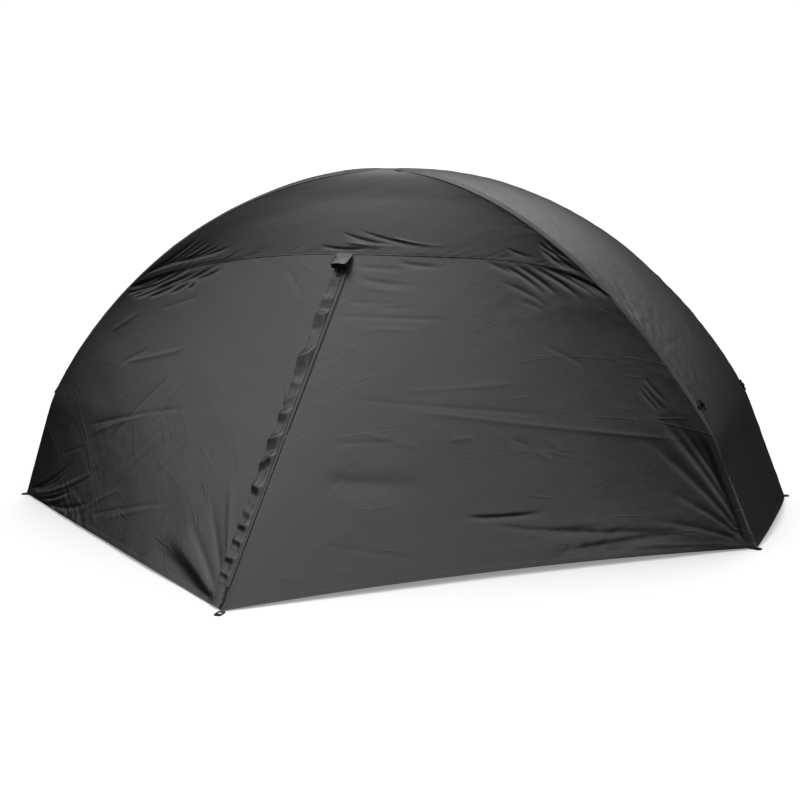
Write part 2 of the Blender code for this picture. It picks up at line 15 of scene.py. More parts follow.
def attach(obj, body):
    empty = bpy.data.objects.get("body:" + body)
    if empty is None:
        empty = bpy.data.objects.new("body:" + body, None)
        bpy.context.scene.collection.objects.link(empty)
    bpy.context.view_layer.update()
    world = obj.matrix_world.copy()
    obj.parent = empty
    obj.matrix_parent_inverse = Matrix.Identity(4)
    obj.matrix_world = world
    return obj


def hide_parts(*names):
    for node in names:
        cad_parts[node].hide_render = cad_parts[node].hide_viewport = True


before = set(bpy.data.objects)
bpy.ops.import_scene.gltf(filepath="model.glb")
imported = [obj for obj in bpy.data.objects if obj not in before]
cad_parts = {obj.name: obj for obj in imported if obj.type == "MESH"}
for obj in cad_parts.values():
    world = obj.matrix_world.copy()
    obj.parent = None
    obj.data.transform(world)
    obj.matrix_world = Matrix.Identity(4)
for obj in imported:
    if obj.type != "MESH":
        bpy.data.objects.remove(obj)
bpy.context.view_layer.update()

# Camera: the photo's angle, for a frame of 800 by 800
PHOTO_SIZE = 800
CAMERA_PLACE = (1.819, -5.1129, 1.5111)
CAMERA_YAW, CAMERA_PITCH, CAMERA_ROLL = -0.3391, -0.2220, -0.0244
CAMERA_FOCAL = 1830.06
CAMERA_DROP = 4.1
SENSOR = 36

# Studio: soft patches of light, each with its azimuth from the front towards the right, its
# elevation and its strength
PATCHES = (
    (180, 62, 2.06), (180, 36, 0.48), (210, 36, 0.32), (270, 36, 0.87), (300, 62, 0.53),
    (0, 62, 0.47), (60, 62, 0.38), (60, 36, 0.55), (60, 12, 0.25), (90, 12, 0.76), (120, 12, 0.32),
)
PATCH_SHARPNESS = 9.0
HORIZON = (0.0, 0.40)
SURROUNDINGS = 0.01
KEY_AZIMUTH, KEY_ELEVATION, KEY_STRENGTH, KEY_ANGLE = 0, 79, 0.1, 50
STAGE_RADIUS = 60
FLOOR_COLOUR = (0.86, 0.86, 0.86)
FLOOR_GLOW, BACKDROP_GLOW = 0.28, 1.1

# Poles and ridge lines. A share runs from 0 at the crown to 1 at the foot
LENGTH, WIDTH, HEIGHT = 2.275, 0.552, 1.0
ELBOW_SHARE, ELBOW_HEIGHT, ELBOW_BLUR = 0.903, 0.289, 0.006
ARCH_POWER, ARCH_ROUNDING = 2.105, 1.126
SIDE_BOW = 0.829
RIDGE_STEP = 0.001
POLE_RADIUS, POLE_SIDES, POLE_SECTION = 0.0045, 18, 0.43
# Step of a pole's line, the points that its inset is blurred over, the points of its leg and of
# the whole pole
POLE_STEP, POLE_BLUR, LEG_POINTS, POLE_POINTS = 0.008, 8, 24, 620
FERRULE_RADIUS, FERRULE_LENGTH = 0.0051, 0.05
HUB_RADIUS, HUB_THICKNESS, HUB_GROOVE = 0.014, 0.003, 0.001
CROSSING_REACH, CROSSING_ROOM, HUB_ROOM = 0.18, 0.0016, 0.0008
FOOT_RADIUS, FOOT_TOP, SLEEVE_START = 0.0062, 0.038, 2.5
PIN_RADIUS = 0.003
# Ribs of the foot's sleeve: height, and share of its radius
SLEEVE = (
    (0.009, 1.0), (0.013, 0.97), (0.0135, 0.88), (0.015, 0.88), (0.0155, 0.97), (0.020, 0.96),
    (0.0205, 0.88), (0.022, 0.88), (0.0225, 0.96), (0.036, 0.93), (FOOT_TOP, 0.86),
)

# Fly
SKIN, GAP = 0.001, 0.0003
SEAM_SHARE, SEAM_RISE = 0.65, 0.168
SEAM_POWER_LEFT, SEAM_POWER_RIGHT = 2.3, 5.0
HEM_HEIGHT = 0.0032
END_HEM_LIFT, END_HEM_SHARE = 0.012, 0.7
VESTIBULE_DEPTH, VESTIBULE_X = 0.867, -0.069
LEFT_HEM, RIGHT_HEM = (0.004, -0.010), (0.014, 0.020)
ROUNDING, PROBE = 0.008, 0.012
HEM_WIDTH, HEM_STEP = 0.012, 0.0007
HEM_SEAM = HEM_WIDTH - 0.0025
RIDGE_SEAM = 0.0078
GROUND_CLEARANCE, POLE_CLEARANCE = 0.0008, 0.0008
POLE_REACH, POLE_SLOPE = 0.024, 0.45
END_SAG = 0.012
END_BELLIES = {"right": 0.036, "left": 0.018}
ROOF_TAUTNESS = 0.65
# How far from an edge the folds that stand out, and the hollows, fade to nothing
RIDGE_MARGINS, SEAM_MARGINS, CROWN_MARGINS = (0.008, 0.012), (0.010, 0.010), (0.030, 0.060)
SEAM_PUCKER, END_PUCKER = (0.0012, 0.020, 0.016), (0.0007, 0.030, 0.022)

# Zip
ZIP_TOP_X, ZIP_WIDTH = -0.026, 0.025
ZIP_MIDDLE, ZIP_COLUMNS = 6, 13
TOOTH_PITCH, TOOTH_LENGTH, TOOTH_RADIUS, TOOTH_OFFSET = 0.0022, 0.0042, 0.00085, 0.0008
PULL_ROW, PULL_RISE, PULL_LENGTH, PULL_DROP, PULL_THICKNESS = 8, 0.0042, 0.024, 0.0022, 0.0012

# Storm flap
FLAP_SHARE = 0.03
FLAP_ENDS = (0.055, 0.987)
FLAP_SEAM = 0.17
FLAP_ROWS = {"front": 300, "back": 170}
FLAP_FREE_HEM = (0.008, 0.0006)
FLAP_CLEARANCE, FLAP_STEP = 0.0010, 0.0016
# Its lift, the rib beside its seam (height, place and spread) and the rise to its free edge
FLAP_LIFT, FLAP_RIB, FLAP_RISE = 0.0012, (0.0018, 0.30, 0.16), 0.0006
FLAP_DROOP, FLAP_SLANT = 0.45, 0.03
# Heights and sizes of its unevenness
FLAP_HILLS, FLAP_CRUMPLES, FLAP_WAVES = (0.0012, 0.025), (0.0016, 0.028), (0.0022, 0.045)
BUCKLE_SCALE, BUCKLE_SHARPNESS, BUCKLE_SHIFT = 1.25, 1.2, 0.03
FLAP_STITCHES = (("left", 0.002, 0.0006), ("left", 0.0115, 0.0008), ("right", 0.006, 0.00035))
# Its buckles: share along the zip, height, lengths below and above the crest, slant
BUCKLES = (
    (0.915, 0.004, 0.030, 0.030, 0.2), (0.850, 0.007, 0.038, 0.022, 0.3),
    (0.800, 0.011, 0.046, 0.030, 0.2), (0.676, 0.016, 0.062, 0.048, 0.7),
    (0.598, 0.004, 0.018, 0.026, 0.0), (0.560, 0.004, 0.022, 0.020, 0.8),
    (0.509, 0.008, 0.028, 0.030, 0.0), (0.441, 0.012, 0.036, 0.028, 0.9),
    (0.384, 0.011, 0.026, 0.022, 1.6), (0.306, 0.009, 0.024, 0.036, 0.0),
    (0.238, 0.004, 0.020, 0.024, -0.3), (0.205, 0.006, 0.015, 0.022, 0.2),
    (0.164, 0.005, 0.014, 0.018, -0.1), (0.120, 0.006, 0.016, 0.022, 0.2),
    (0.080, 0.004, 0.014, 0.016, 0.0),
)

# Hood
HOOD_X, HOOD_WIDTH, HOOD_REACH = -0.053, 0.047, 0.058
HOOD_DROP, HOOD_FLANGE, HOOD_SEAT = 0.016, 0.010, 0.0038
HOOD_DROOP = math.radians(16)
HOOD_THICKNESS, HOOD_CORNER, HOOD_LIP = 0.003, 0.009, 0.013
HOOD_ARCH, HOOD_ROUNDING = 0.0022, 0.0012
BINDING_WIDTH, BINDING_THICKNESS, LIP_THICKNESS = 0.0048, 0.0016, 0.0012
BINDING_SINK, LIP_SINK, LIP_INSET = 0.0015, 0.002, 0.0012

# Seams. The tape's lines: distance from the seam and height on the cloth
TAPE_END = 0.985
TAPE_LINES = ((0.0062, 0.0001), (0.0056, 0.0009), (0.003, 0.0010))
TAPE_CREST = (0.0, 0.0011)
TAPE_STITCHES, TAPE_STITCH_RISE = (0.0015, 0.0045), 0.0012
STITCH_PITCH, STITCH_LENGTH, STITCH_RADIUS = 0.0034, 0.0026, 0.00035

# Webbing and fittings
TAB_WIDTH, TAB_THICKNESS, TAB_HOLE = 0.022, 0.002, 0.004
TAB_REACH, TAB_TURN = (0.014, 0.026), 0.4
TACK_PLACES, TACK_HALF = (-0.0105, 0.0125), 0.0085
EYELET_SEAT, EYELET_RADIUS = 0.0009, 0.0013
STAKE_HOLE, STAKE_REACH, STAKE_OFFSET = 0.006, (0.016, 0.020), 0.012
GUY_SHARES = (0.8825, 0.855)
GUY_RISE, GUY_RISE_PARTS = 0.15, (0.4, 1.0)
GUY_WIDTH, GUY_THICKNESS, GUY_STEM, GUY_CURL = 0.012, 0.0014, 0.026, (-60, 210)
GUY_ROOM = 0.0006
BAR_RADIUS, BAR_LENGTH = 0.0028, 0.036
# One end of the bar: distance from the end, and radius
BAR_END = ((0, 0.0012), (0.0006, 0.0022), (0.0018, BAR_RADIUS), (0.006, BAR_RADIUS))
BAR_WAIST = (0.007, 0.0021)

# Fine creases: angle in the panel in degrees, lines per metre, height and share of the panel
CREASE_WIDTH = 0.0028
LEFT_LINES = (
    (52, 26, 0.0006, 0.47), (64, 34, 0.0004, 0.42), (14, 24, 0.0005, 0.44), (-35, 30, 0.0002, 0.38),
)
RIGHT_LINES = (
    (-6, 26, 0.0004, 0.46), (4, 34, 0.0003, 0.42), (-28, 30, 0.0002, 0.40), (35, 26, 0.0002, 0.38),
)
ROOF_LINES = ((-10, 26, 0.0002, 0.40), (12, 34, 0.0002, 0.36))
END_LINES = ((64, 30, 0.0005, 0.42), (35, 40, 0.0005, 0.42), (-50, 40, 0.0004, 0.42))

# Level and roughness of the fly's cloth, and the pitch and depth of weaves and ribs
FLY = (0.021, 0.34)
WEAVE_PITCH, WEAVE_DEPTH = 0.0009, 0.0001
RIB_PITCH, RIB_DEPTH, CROSS_PITCH, CROSS_DEPTH = 0.0016, 0.0003, 0.0011, 0.0002

# Steps of the cloth grids, about how wide the panels are, and the distances from a ridge where
# extra columns lie
STEPS = {"front": 0.0042, "back": 0.0072}
DOOR_SPAN, ROOF_SPAN, END_SPAN = 1.2, 1.3, 0.5
EDGE_STEPS = (0.0012, 0.0025, 0.004, 0.0055, 0.007)

# Seeds of the cloth's unevenness, and how far its folds stray
SEEDS = {"front": 10, "back": 20, "right": 31, "left": 32, "zip": 5, "tape": 8}
FLAP_SEEDS = {"front": 6, "back": 7}
WANDER = {"front": 0.0, "back": 0.04}
CURVE_SAMPLES = 4000

CORNER_SHARE = 1 - HEM_HEIGHT * (1 - ELBOW_SHARE) / ELBOW_HEIGHT
MIDDLE = np.array([0, 0, HEIGHT / 4])
UP = np.array([0, 0, 1.0])
RIGHT = np.array([1.0, 0, 0])
TURNS = {"front": np.ones(3), "back": np.array([-1.0, -1.0, 1.0])}
MIRROR = np.array([-1.0, 1.0, 1.0])
CORNERS = (
    ("front_left", -1, -1), ("front_right", 1, -1), ("back_right", 1, 1), ("back_left", -1, 1),
)


def unit(vector):
    return vector / np.maximum(np.linalg.norm(vector, axis=-1, keepdims=True), 1e-12)


def lerp(start, end, share):
    return start + (end - start) * share


def smoothstep(value):
    value = np.clip(value, 0, 1)
    return value * value * (3 - 2 * value)


def facing(vectors, target):
    """The vectors or their opposites, whichever point the target's way on the whole."""
    return vectors if np.sum(vectors * target) > 0 else -vectors


def square_to(side, way):
    """Directions square to the way, on the side's side."""
    return unit(side - way * np.sum(side * way, -1, keepdims=True))


def sampled(spots, keys, points):
    """Points at some places of a line, whose own points are at the keys."""
    return np.stack([np.interp(spots, keys, points[:, axis]) for axis in range(3)], -1)


def run_along(points):
    """Length along a line of points, from the first one."""
    return np.concatenate([[0], np.cumsum(np.linalg.norm(np.diff(points, axis=0), axis=1))])


def round_angles(count):
    return np.linspace(0, 2 * math.pi, count, endpoint=False)


# Camera, lights and floor


def placed(name, data):
    thing = bpy.data.objects.new(name, data)
    bpy.context.scene.collection.objects.link(thing)
    return thing


def make_camera():
    cos, sin = math.cos, math.sin
    level = np.array([cos(CAMERA_YAW), -sin(CAMERA_YAW), 0])
    ahead = np.array([sin(CAMERA_YAW), cos(CAMERA_YAW), 0]) * cos(CAMERA_PITCH)
    ahead[2] = sin(CAMERA_PITCH)
    upright = np.cross(level, ahead)
    right = level * cos(CAMERA_ROLL) + upright * sin(CAMERA_ROLL)
    above = upright * cos(CAMERA_ROLL) - level * sin(CAMERA_ROLL)
    lens = bpy.data.cameras.new("camera")
    lens.sensor_width = SENSOR
    lens.lens = CAMERA_FOCAL / PHOTO_SIZE * SENSOR
    lens.shift_y = CAMERA_DROP / PHOTO_SIZE
    lens.clip_end = 4 * STAGE_RADIUS
    camera = placed("camera", lens)
    rows = np.stack([right, above, -ahead, CAMERA_PLACE], -1).tolist()
    camera.matrix_world = Matrix([*rows, [0, 0, 0, 1]])
    bpy.context.scene.camera = camera


def add_node(tree, kind, output, inputs, **settings):
    """Adds a node, whose inputs are set to values or linked to outputs, and gives one output."""
    node = tree.nodes.new(kind)
    for name, value in settings.items():
        setattr(node, name, value)
    for key, value in inputs.items():
        if isinstance(value, bpy.types.NodeSocket):
            tree.links.new(value, node.inputs[key])
        else:
            node.inputs[key].default_value = value
    return node.outputs[output]


def make_world():
    """Dark surroundings with soft patches of light."""
    world = bpy.data.worlds.new("studio")
    world.use_nodes = True
    tree = world.node_tree

    def worked_out(operation, *inputs):
        inputs = dict(enumerate(inputs))
        return add_node(tree, "ShaderNodeMath", "Value", inputs, operation=operation)

    place = add_node(tree, "ShaderNodeTexCoord", "Generated", {})
    light = SURROUNDINGS
    for azimuth, elevation, strength in PATCHES:
        az, el = math.radians(azimuth), math.radians(elevation)
        way = (math.sin(az) * math.cos(el), -math.cos(az) * math.cos(el), math.sin(el))
        inputs = {0: place, 1: way}
        near = add_node(tree, "ShaderNodeVectorMath", "Value", inputs, operation="DOT_PRODUCT")
        shaped = worked_out("MULTIPLY_ADD", near, PATCH_SHARPNESS, -PATCH_SHARPNESS)
        light = worked_out("MULTIPLY_ADD", worked_out("EXPONENT", shaped), strength, light)
    height = add_node(tree, "ShaderNodeSeparateXYZ", "Z", {"Vector": place})
    inputs = {"From Min": HORIZON[0], "From Max": HORIZON[1], "Value": height}
    kind = "ShaderNodeMapRange"
    rise = add_node(tree, kind, "Result", inputs, interpolation_type="SMOOTHSTEP")
    background = tree.nodes["Background"].inputs
    tree.links.new(worked_out("MULTIPLY", light, rise), background["Strength"])
    background["Color"].default_value = (1, 1, 1, 1)
    bpy.context.scene.world = world


def make_sun():
    """A soft distant lamp."""
    lamp = bpy.data.lights.new("key_light", "SUN")
    lamp.energy = KEY_STRENGTH
    lamp.angle = math.radians(KEY_ANGLE)
    turn = (math.radians(90 - KEY_ELEVATION), 0, math.radians(KEY_AZIMUTH))
    placed("key_light", lamp).rotation_euler = turn


def glowing_paper(name, colour, roughness, glow):
    look = plain_material(name, colour, roughness)
    inputs = look.node_tree.nodes["Principled BSDF"].inputs
    inputs["Specular IOR Level"].default_value = 0
    inputs["Emission Color"].default_value = (1, 1, 1, 1)
    inputs["Emission Strength"].default_value = glow
    return look


def make_stage():
    """Pale floor and a pale dome round it, whose own light doesn't fall on the part."""
    make_world()
    make_sun()
    bpy.ops.mesh.primitive_plane_add(size=4 * STAGE_RADIUS, location=(0, 0, 0))
    floor = bpy.context.object
    floor.name = "floor"
    floor.data.materials.append(glowing_paper("floor_paper", FLOOR_COLOUR, 0.9, FLOOR_GLOW))
    bpy.ops.mesh.primitive_uv_sphere_add(segments=64, ring_count=32, radius=STAGE_RADIUS)
    dome = bpy.context.object
    dome.name = "backdrop"
    dome.data.materials.append(glowing_paper("backdrop_paper", (0, 0, 0), 1.0, BACKDROP_GLOW))
    for thing in (floor, dome):
        thing.visible_glossy = thing.visible_diffuse = thing.visible_transmission = False
    dome.visible_shadow = False
    bpy.context.scene.view_settings.view_transform = "Standard"


# Materials


def plain_material(name, colour, roughness, metallic=0.0):
    look = bpy.data.materials.new(name)
    look.use_nodes = True
    inputs = look.node_tree.nodes["Principled BSDF"].inputs
    inputs["Base Color"].default_value = (*colour, 1)
    inputs["Roughness"].default_value = roughness
    inputs["Metallic"].default_value = metallic
    return look


def grey(level):
    return (level, level, level)


class Look:
    """A material built up from procedural layers."""

    def __init__(self, name, colour, roughness, metallic=0.0, specular=0.5):
        self.material = plain_material(name, colour, roughness, metallic)
        self.tree = self.material.node_tree
        self.shader = self.tree.nodes["Principled BSDF"].inputs
        self.shader["Specular IOR Level"].default_value = specular
        self.normal = None

    def node(self, kind, output, inputs, **settings):
        return add_node(self.tree, kind, output, inputs, **settings)

    def put(self, source, name):
        self.tree.links.new(source, self.shader[name])

    def solid(self):
        return self.node("ShaderNodeTexCoord", "Object", {})

    def flat(self):
        return self.node("ShaderNodeUVMap", "UV", {}, uv_map="cloth")

    def turned(self, source, angle, stretch):
        """The source turned by an angle, and drawn out along its new first axis."""
        kind, straight = "ShaderNodeMapping", {"Rotation": (0, 0, -angle), "Vector": source}
        turned = self.node(kind, "Vector", straight)
        return self.node(kind, "Vector", {"Scale": (1 / stretch, 1, 1), "Vector": turned})

    def noise(self, source, scale, detail):
        inputs = {"Vector": source, "Scale": scale, "Detail": detail}
        return self.node("ShaderNodeTexNoise", "Fac", inputs)

    def cells(self, source, scale):
        """Distance to the edges of random cells."""
        inputs = {"Vector": source, "Scale": scale}
        settings = {"voronoi_dimensions": "2D", "feature": "DISTANCE_TO_EDGE"}
        return self.node("ShaderNodeTexVoronoi", "Distance", inputs, **settings)

    def wave(self, source, direction, period):
        inputs = {"Vector": source, "Scale": math.pi / (10 * period)}
        return self.node("ShaderNodeTexWave", "Fac", inputs, bands_direction=direction)

    def ranged(self, source, low, high, start=0.0, end=1.0):
        inputs = {"From Min": start, "From Max": end, "To Min": low, "To Max": high}
        return self.node("ShaderNodeMapRange", "Result", {"Value": source, **inputs})

    def times(self, first, second):
        return self.node("ShaderNodeMath", "Value", {0: first, 1: second}, operation="MULTIPLY")

    def tone(self, source, dark, light):
        """Colour that runs from dark to light with the source."""
        inputs = {"A": (*dark, 1), "B": (*light, 1), "Factor": source}
        self.put(self.node("ShaderNodeMix", "Result", inputs, data_type="RGBA"), "Base Color")

    def gloss(self, source, low, high):
        self.put(self.ranged(source, low, high), "Roughness")

    def bump(self, source, depth, strength=1.0):
        inputs = {"Distance": depth, "Strength": strength, "Height": source}
        if self.normal is not None:
            inputs["Normal"] = self.normal
        self.normal = self.node("ShaderNodeBump", "Normal", inputs)
        self.put(self.normal, "Normal")

    def creases(self, flat, angle, scale, depth, share, fade):
        """Long thin creases at about an angle, on a share of the panel, which fade upwards."""
        lines = self.turned(flat, angle, 9.0)
        edge = self.ranged(self.cells(lines, scale), 1, 0, 0, CREASE_WIDTH * scale)
        patches = self.noise(self.turned(flat, angle, 2.5), scale * 0.45, 2)
        mask = self.ranged(patches, 0, 1, 1 - share, 1.12 - share)
        up = self.node("ShaderNodeSeparateXYZ", "Y", {"Vector": flat})
        low = self.ranged(up, 1.0, 0.15, fade * 0.6, fade)
        self.bump(self.times(self.times(edge, mask), low), depth)


def woven_fabric(name, level, roughness, creases=(), crinkle=0.0006, fade=9.0):
    """Coated plain weave, with creases at some angles in the panel."""
    look = Look(name, grey(level), roughness, 0.0, 0.8)
    flat, solid = look.flat(), look.solid()
    look.tone(look.noise(solid, 8, 5), grey(level * 0.86), grey(level * 1.14))
    look.gloss(look.noise(solid, 26, 4), roughness - 0.04, roughness + 0.04)
    look.bump(look.noise(solid, 42, 3), crinkle)
    for angle, scale, depth, share in creases:
        look.creases(flat, math.radians(angle), scale, depth, share, fade)
    threads = [look.wave(flat, direction, WEAVE_PITCH) for direction in "XY"]
    look.bump(look.times(*threads), WEAVE_DEPTH, 0.5)
    return look.material


def ribbed_webbing(name, level):
    look = Look(name, grey(level), 0.75, 0.0, 0.25)
    flat, solid = look.flat(), look.solid()
    look.tone(look.noise(solid, 150, 3), grey(level * 0.7), grey(level * 1.4))
    look.bump(look.wave(flat, "Y", RIB_PITCH), RIB_DEPTH, 0.8)
    look.bump(look.wave(flat, "X", CROSS_PITCH), CROSS_DEPTH, 0.5)
    return look.material


def moulded(name, level, roughness, metallic=0.0, specular=0.5):
    look = Look(name, grey(level), roughness, metallic, specular)
    solid = look.solid()
    look.tone(look.noise(solid, 90, 3), grey(level * 0.8), grey(level * 1.2))
    look.gloss(look.noise(solid, 220, 2), roughness - 0.06, roughness + 0.08)
    look.bump(look.noise(solid, 1100, 2), 0.0001, 0.4)
    return look.material


def anodised(name):
    look = Look(name, (0.42, 0.43, 0.45), 0.32, 1.0)
    solid = look.solid()
    look.tone(look.noise(solid, 25, 2), (0.36, 0.37, 0.39), (0.46, 0.47, 0.49))
    look.gloss(look.noise(solid, 400, 4), 0.26, 0.40)
    return look.material


LOOKS = {
    "left": woven_fabric("fly_polyester_left", *FLY, LEFT_LINES, 0.0005, 0.62),
    "right": woven_fabric("fly_polyester_right", *FLY, RIGHT_LINES),
    "roof": woven_fabric("fly_polyester_roof", *FLY, ROOF_LINES, 0.0004),
    "end": woven_fabric("fly_polyester_end", *FLY, END_LINES, 0.0008),
    "flap": woven_fabric("flap_polyester", *FLY, (), 0.0004),
    "tape": woven_fabric("zip_tape_weave", 0.010, 0.6, (), 0.0002),
    "coil": moulded("nylon_coil", 0.014, 0.4),
    # The hood's cloth is grey, lighter than the black fly: a painted highlight for its lit top
    "hood": woven_fabric("hood_cloth_painted_highlight", 0.11, 0.36, (), 0.0002),
    "thread": moulded("sewing_thread", 0.004, 0.7, 0.0, 0.15),
    "webbing": ribbed_webbing("webbing_black", 0.006),
    "plastic": moulded("moulded_black", 0.006, 0.42, 0.0, 0.3),
    "metal": moulded("lacquered_metal", 0.08, 0.34, 0.9),
    "steel": moulded("plated_eyelet", 0.32, 0.3, 1.0),
    "alloy": anodised("anodised_alloy"),
}


# Ridge lines and surfaces of the front, as the part has them


def arch_height(share):
    share = np.abs(share)
    rounded = (1 - np.clip(share / ELBOW_SHARE, 0, 1) ** ARCH_POWER) ** (1 / ARCH_ROUNDING)
    leg = ELBOW_HEIGHT * (1 - share) / (1 - ELBOW_SHARE)
    return np.where(share > ELBOW_SHARE, leg, lerp(ELBOW_HEIGHT, HEIGHT, rounded))


def ridge_height(share):
    """Height of the ridge with its elbow rounded, as cloth lies over it."""
    offsets = np.linspace(-2, 2, 9)
    weights = np.exp(-(offsets**2) / 2)
    heights = sum(w * arch_height(share + o * ELBOW_BLUR) for w, o in zip(weights, offsets))
    return heights / weights.sum()


def arch_out(share):
    return WIDTH / 2 * share * (1 + SIDE_BOW * (1 - share**2))


def ridge(side_x, side_y, share):
    share = np.asarray(share, float)
    along, out = side_x * LENGTH / 2 * share, side_y * arch_out(share)
    return np.stack([along, out, ridge_height(share)], -1)


def ridge_way(side_x, side_y, share):
    """Direction of the ridge, towards the crown."""
    above = ridge(side_x, side_y, share - RIDGE_STEP)
    return unit(above - ridge(side_x, side_y, share + RIDGE_STEP))


DENSE = np.linspace(CORNER_SHARE, 0, CURVE_SAMPLES)
DENSE_RUN = run_along(ridge(1, 1, DENSE))


def run_at(share):
    """Length of the ridge from the hem up to a share."""
    return np.interp(-np.asarray(share, float), -DENSE, DENSE_RUN)


def shares_between(start, end, step):
    low, high = run_at(start), run_at(end)
    return np.interp(np.linspace(low, high, int((high - low) / step) + 1), DENSE_RUN, DENSE)


def roof_point(across, share):
    across, share = np.broadcast_arrays(np.asarray(across, float), np.asarray(share, float))
    power = np.where(across < 0, SEAM_POWER_LEFT, SEAM_POWER_RIGHT)
    inner = share * (1 - SEAM_RISE * (1 - np.abs(across) ** power))
    return np.stack([across * LENGTH / 2 * share, -arch_out(inner), ridge_height(inner)], -1)


ZIP_TOP_ACROSS = ZIP_TOP_X / (LENGTH / 2 * SEAM_SHARE)
ZIP_EDGE_ACROSS = ZIP_TOP_ACROSS - ZIP_WIDTH / (LENGTH / 2 * SEAM_SHARE)
ZIP_TOP = roof_point(ZIP_TOP_ACROSS, SEAM_SHARE)
ZIP_EDGE_TOP = roof_point(ZIP_EDGE_ACROSS, SEAM_SHARE)
STAKED_CORNER = np.array([VESTIBULE_X, -WIDTH / 2 - VESTIBULE_DEPTH, HEM_HEIGHT])
ZIP_EDGE_BOTTOM = STAKED_CORNER + ZIP_WIDTH * unit(ridge(-1, -1, CORNER_SHARE) - STAKED_CORNER)
LEFT_DOOR = (ZIP_EDGE_BOTTOM, ZIP_EDGE_TOP, ZIP_EDGE_ACROSS, -1, LEFT_HEM)
RIGHT_DOOR = (STAKED_CORNER, ZIP_TOP, ZIP_TOP_ACROSS, 1, RIGHT_HEM)


def door_grid(kind, over, rows):
    """Door blended between zip, ridge, hem and seam, at shares over it and shares of the ridge."""
    bottom, top, edge_across, side_x, (lift, inward) = kind
    foot, shoulder = ridge(side_x, -1, CORNER_SHARE), ridge(side_x, -1, SEAM_SHARE)
    up = (run_at(rows) / run_at(SEAM_SHARE))[:, None, None]
    over = np.asarray(over, float)[None, :, None]
    low = lerp(bottom, foot, over) + 4 * over * (1 - over) * np.array([0, inward, lift])
    high = roof_point(lerp(edge_across, side_x, over[0, :, 0]), SEAM_SHARE)[None]
    sides = lerp(lerp(bottom, top, up), ridge(side_x, -1, rows)[:, None], over)
    corners = lerp(lerp(bottom, foot, over), lerp(top, shoulder, over), up)
    return sides + lerp(low, high, up) - corners


def end_grid(over, rows):
    """Right end panel: rows of the ridge line, columns from the front ridge to the back one."""
    over = np.asarray(over, float)[None, :, None]
    low = np.clip(1 - ridge_height(rows) / (END_HEM_SHARE * ELBOW_HEIGHT), 0, None)[:, None, None]
    share = np.asarray(rows)[:, None, None]
    belly = 1 - over**2
    moved = belly * END_SAG * share * np.array([-1, 0, 0]) + belly * END_HEM_LIFT * low * UP
    spread = np.concatenate([over * 0 + 1, over, over * 0 + 1], -1)
    return ridge(1, 1, rows)[:, None] * spread + moved


def side_way(side_x, rows):
    """Directions from a front ridge into the door below the seam and into the roof above it."""
    rows = np.maximum(rows, 0.01)
    kind = RIGHT_DOOR if side_x > 0 else LEFT_DOOR
    below = door_grid(kind, [1 - PROBE], np.maximum(rows, SEAM_SHARE))[:, 0]
    above = roof_point(side_x * (1 - PROBE), np.minimum(rows, SEAM_SHARE))
    beside = np.where((rows > SEAM_SHARE)[:, None], below, above)
    return square_to(beside - ridge(side_x, -1, rows), ridge_way(side_x, -1, rows))


def end_way(side_x, rows):
    """Directions from a front ridge into the end panel."""
    rows = np.maximum(rows, 0.01)
    beside = end_grid([-1 + 3 * PROBE], rows)[:, 0]
    way = square_to(beside - ridge(1, -1, rows), ridge_way(1, -1, rows))
    return way if side_x > 0 else way * MIRROR


def rolled(points, line, way, inward, other):
    """The panel with its edge at the ridge rolled over the pole, half way to the next panel."""
    way = way[:, None]
    offset = points - line[:, None]
    slide = np.sum(offset * way, -1, keepdims=True) * way
    distance = np.linalg.norm(offset - slide, axis=-1, keepdims=True)
    width = np.clip(distance.max(axis=1, keepdims=True) * 0.3, 1e-6, ROUNDING)
    share = np.clip(1 - distance / width, 0, 1) / 2
    bend = (1 - share) ** 2 * inward[:, None] + share**2 * other[:, None]
    return np.where(share > 0, line[:, None] + slide + width * bend, points)


# Cloth panels with folds


def grid_normals(points):
    normals = unit(np.cross(np.gradient(points, axis=1), np.gradient(points, axis=0)))
    normals[-1] = normals[-2]
    return facing(normals, points - MIDDLE)


def metres(points, axis):
    """Length along the grid's lines, from the first point of each."""
    steps = np.linalg.norm(np.diff(points, axis=axis), axis=-1)
    start = np.zeros_like(steps[:, :1] if axis == 1 else steps[:1])
    return np.cumsum(np.concatenate([start, steps], axis=axis), axis=axis)


